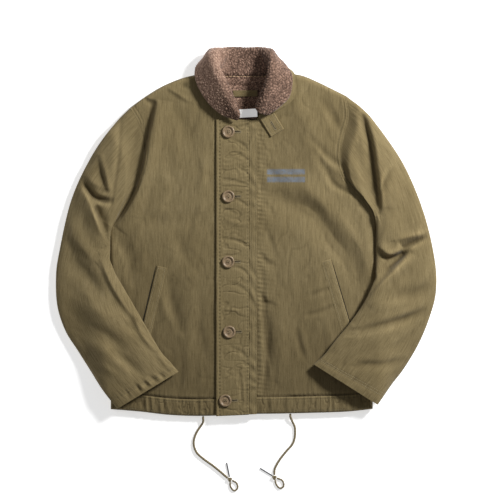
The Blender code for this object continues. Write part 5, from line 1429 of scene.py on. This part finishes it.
# ---- buttons and buttonholes
buttons = {
    "spots": [(-36.4, 193.6, 10), (-36.4, 64.2, 40), (-36.6, -66.6, 72), (-34.4, -206.8, 25), (-42.4, -344, 95)],
    "width": 25.0, "height": 4.2, "gap": 0.5, "holeWidth": 2.2, "holeAway": 2.6,
    "profile": [(0, 0.58), (0.28, 0.56), (0.42, 0.50), (0.52, 0.46), (0.60, 0.48), (0.66, 0.62), (0.70, 0.84), (0.76, 0.96), (0.84, 1.0),
                (0.93, 0.94), (1.0, 0.66), (0.98, 0.36), (0.86, 0.10), (0.60, 0.0), (0, 0.0)],
}


def buttonMesh():
    """A profile turned round Z, with four holes cut through it."""
    s = buttons
    profile = curveThrough([(a * s["width"] / 2, b * s["height"]) for a, b in s["profile"]], 48)
    profile[[0, -1], 0] = 0
    turns = 72
    angle = np.linspace(0, 2 * math.pi, turns, endpoint=False)
    ring = np.stack([profile[1:-1, 0, None] * np.cos(angle), profile[1:-1, 0, None] * np.sin(angle),
                     np.broadcast_to(profile[1:-1, 1, None], (46, turns))], axis=-1)
    index = np.arange(46 * turns).reshape(46, turns)
    points = np.vstack([ring.reshape(-1, 3), [[0, 0, profile[0, 1]], [0, 0, profile[-1, 1]]]])
    nextOne = np.roll(index, -1, axis=1)
    fans = [np.stack([np.full(turns, 46 * turns), index[0], nextOne[0]], 1), np.stack([np.full(turns, 46 * turns + 1), nextOne[-1], index[-1]], 1)]
    faces = outward(points, [quads(index, True)[:, ::-1], np.vstack(fans)])
    mesh = bpy.data.meshes.new("button_blank")
    mesh.from_pydata((points * metre).tolist(), [], [list(map(int, f)) for block in faces for f in block])
    blank = bpy.data.objects.new("button_blank", mesh)
    bpy.context.scene.collection.objects.link(blank)
    drillPoints, drillFaces = [], []
    for k in range(4):
        middle = s["holeAway"] * np.array([math.cos(math.radians(45 + 90 * k)), math.sin(math.radians(45 + 90 * k))])
        ringAt = np.linspace(0, 2 * math.pi, 20, endpoint=False)
        circle = middle + s["holeWidth"] / 2 * np.stack([np.cos(ringAt), np.sin(ringAt)], 1)
        drillPoints.append(np.vstack([np.column_stack([circle, np.full(20, z)]) for z in (-2.0, 8.0)]))
        lower = np.arange(20) + 40 * k
        drillFaces += [list(map(int, lower[::-1])), list(map(int, lower + 20))]
        drillFaces += [[int(lower[i]), int(lower[(i + 1) % 20]), int(lower[(i + 1) % 20] + 20), int(lower[i] + 20)] for i in range(20)]
    drillMesh = bpy.data.meshes.new("button_drill")
    drillMesh.from_pydata((np.vstack(drillPoints) * metre).tolist(), [], drillFaces)
    drill = bpy.data.objects.new("button_drill", drillMesh)
    bpy.context.scene.collection.objects.link(drill)
    cut = blank.modifiers.new("holes", "BOOLEAN")
    cut.operation, cut.object = "DIFFERENCE", drill
    bpy.context.view_layer.update()
    evaluated = blank.evaluated_get(bpy.context.evaluated_depsgraph_get())
    made = bpy.data.meshes.new_from_object(evaluated)
    for old in (blank, drill):
        bpy.data.objects.remove(old, do_unlink=True)
    return made


print("buttons")
blankMesh = buttonMesh()
blankPoints = np.empty(len(blankMesh.vertices) * 3, np.float32)
blankMesh.vertices.foreach_get("co", blankPoints)
blankPoints = blankPoints.reshape(-1, 3).astype(float) / metre
threadParts, threadFaces, threadCount = [], [], 0
holeRows = []
for number, (x, y, turn) in enumerate(buttons["spots"], 1):
    base = flapBase + flap["wall"] + 0.5 + 0.5 * math.sin(y / 33 + x / 20) * float(smoothStep(x, flapLeft, flapLeft + 20)) + buttons["gap"]
    c, n = math.cos(math.radians(turn)), math.sin(math.radians(turn))
    turned = blankPoints @ np.array([[c, n, 0], [-n, c, 0], [0, 0, 1]]) + np.array([x, y, base])
    mesh = blankMesh.copy()
    mesh.vertices.foreach_set("co", ((turned + middleAt) * metre).astype(np.float32).ravel())
    mesh.shade_smooth()
    mesh.set_sharp_from_angle(angle=math.radians(40))
    mesh.materials.clear()
    mesh.materials.append(buttonResin)
    name = f"button_{number}"
    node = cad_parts[name]
    piece = bpy.data.objects.new(name + "_turned", mesh)
    bpy.context.scene.collection.objects.link(piece)
    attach(piece, "root")
    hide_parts(name)
    # thread: strands that arch from hole to hole, two and two
    t = np.linspace(0, 1, 9)
    away = buttons["holeAway"]
    for k, (one, two) in enumerate(((0, 1), (3, 2))):
        for strand in (-0.5, 0.0, 0.5):
            a, b = (away * np.array([math.cos(math.radians(45 + 90 * q + turn)), math.sin(math.radians(45 + 90 * q + turn))]) for q in (one, two))
            side = np.array([-(b - a)[1], (b - a)[0]]) / np.linalg.norm(b - a)
            flat = a + t[:, None] * (b - a) + side * strand
            z = base + buttons["height"] * 0.60 + 0.75 * np.sin(math.pi * t) - 2.4 * (np.abs(t - 0.5) > 0.45)
            tube = tubeAlong(np.column_stack([flat + (x, y), z]), 0.3, 6)
            index = np.arange(54).reshape(9, 6) + threadCount
            threadParts.append(tube.reshape(-1, 3))
            threadFaces.append(quads(index, True))
            threadFaces.append(np.array([[index[0][q] for q in (0, 1, 2, 3)], [index[0][q] for q in (0, 3, 4, 5)],
                                         [index[-1][q] for q in (3, 2, 1, 0)], [index[-1][q] for q in (5, 4, 3, 0)]]))
            threadCount += 54
    holeRows.append((x, y))
bpy.data.meshes.remove(blankMesh)
addPiece("button_threads", np.vstack(threadParts), [np.vstack(threadFaces)], holeThread, slot="shell_cloth")

buttonhole = {"start": 5.0, "length": 20.0, "half": 1.8, "eye": 2.4, "pitch": 0.72}


def holeOutline(x, y, s, run=(1.0, 0.0)):
    # a long slot with a round eye at its far end, as a closed line
    run = np.array(run) / np.linalg.norm(run)
    side = np.array([-run[1], run[0]])
    far = s["length"] - s["eye"]
    pts = [(0, 0), (0, s["half"]), (far - 1.5, s["half"])]
    pts += [(far + s["eye"] * math.sin(a), s["eye"] * math.cos(a)) for a in np.linspace(-0.3, math.pi + 0.3, 9)]
    pts += [(far - 1.5, -s["half"]), (0, -s["half"]), (0, 0)]
    return [np.array([x, y]) + run * a + side * b for a, b in pts]


def purlStitches(outlines, heightAt, s):
    """Short threads across a closed line, one beside the other, as in a worked buttonhole."""
    rows = []
    for outline in outlines:
        count = int(lengthAlong(curveThrough(outline, 200))[-1] / s["pitch"])
        line = curveThrough(outline, count)
        run = np.gradient(line, axis=0)
        run /= np.maximum(np.linalg.norm(run, axis=1, keepdims=True), 1e-6)
        side = np.stack([-run[:, 1], run[:, 0]], 1)
        rows.append(np.stack([line - side * 0.95, line + side * 0.95], 1))
    ends = np.vstack(rows)
    low = np.column_stack([ends[:, 0], heightAt(ends[:, 0, 0], ends[:, 0, 1])])
    high = np.column_stack([ends[:, 1], heightAt(ends[:, 1, 0], ends[:, 1, 1])])
    centre, run = (low + high) / 2, (high - low) / np.linalg.norm(high - low, axis=1, keepdims=True)
    side = np.cross(run, [0, 0, 1.0])
    up = np.cross(side, run)
    t = np.array([-1.0, -0.5, 0.5, 1.0])[None, :, None, None] * 1.1
    fat = np.array([0.4, 1.0, 1.0, 0.4])[None, :, None, None]
    theta = np.linspace(0, 2 * math.pi, 5, endpoint=False)[None, None, :, None]
    across = side[:, None, None] * np.cos(theta) * 0.45 + up[:, None, None] * np.sin(theta) * 0.55
    points = centre[:, None, None] + up[:, None, None] * 0.12 + run[:, None, None] * t + across * fat
    index = np.arange(points[..., 0].size).reshape(-1, 4, 5)
    wrapped = np.concatenate([index, index[:, :, :1]], axis=2)
    body = np.stack([wrapped[:, :-1, :-1], wrapped[:, :-1, 1:], wrapped[:, 1:, 1:], wrapped[:, 1:, :-1]], -1).reshape(-1, 4)
    return points.reshape(-1, 3), [body, np.concatenate([index[:, 0, ::-1], index[:, 3]])]


def slitMesh(outlines, heightAt):
    # a thin dark lens of painted shadow in the middle of each buttonhole, pocket mouth and the latch's hole, where the
    # opening is in shade
    parts, faces, count = [], [], 0
    for start, end, half in outlines:
        start, end = np.array(start, float), np.array(end, float)
        t = np.linspace(0, 1, 14)
        run = (end - start) / np.linalg.norm(end - start)
        side = np.array([-run[1], run[0]])
        wide = half * np.maximum(np.sin(math.pi * t) ** 0.4, 0.08)
        w = np.array([-1, 0, 1.0])
        plan = start + t[:, None, None] * (end - start) + (wide[:, None] * w)[..., None] * side
        z = heightAt(plan[..., 0], plan[..., 1])
        top, low = stack(plan, z + 0.10), stack(plan, z - 0.5)
        p, f = closedPanel(top, low, 1)
        parts.append(p)
        faces += [block + count for block in f]
        count += len(p)
    return np.vstack(parts), faces


outlines = [holeOutline(x + buttonhole["start"], y, buttonhole) for x, y in holeRows]
points, faces = purlStitches(outlines, onFlap, buttonhole)
addPiece("buttonholes", points, faces, holeThread, slot="shell_cloth")
slits = [((x + buttonhole["start"] + 1, y), (x + buttonhole["start"] + buttonhole["length"], y), 0.8) for x, y in holeRows]
points, faces = slitMesh(slits, onFlap)
addPiece("buttonhole_slits", points, faces, slitPaintedShadow, slot="shell_cloth")

# the pocket mouths get the same sheet of painted shadow
mouthSlits = [((-180.2, -71), (-217, -228), 0.9)], [((170.4, -63), (215.6, -216), 0.9)]
for name, heightAt, slit in (("mouth_right", onRight, mouthSlits[0]), ("mouth_left", onLeft, mouthSlits[1])):
    points, faces = slitMesh(slit, smoothedUnder(heightAt, 0.35))
    addPiece(name, points, faces, slitPaintedShadow, slot="shell_cloth")

latchHole = {"length": 18.5, "half": 1.2, "eye": 2.1, "pitch": 0.72}
onLatch = seatOn(latchTop)
latchFrom, latchRun = np.array([49.0, 213.5]), np.array([9.0, -15.2])
points, faces = purlStitches([holeOutline(latchFrom[0], latchFrom[1], latchHole, latchRun)], onLatch, latchHole)
addPiece("latch_buttonhole", points, faces, holeThread, slot="shell_cloth")
points, faces = slitMesh([(latchFrom, latchFrom + latchRun / np.linalg.norm(latchRun) * 17.5, 0.7)], onLatch)
addPiece("latch_slit", points, faces, slitPaintedShadow, slot="shell_cloth")
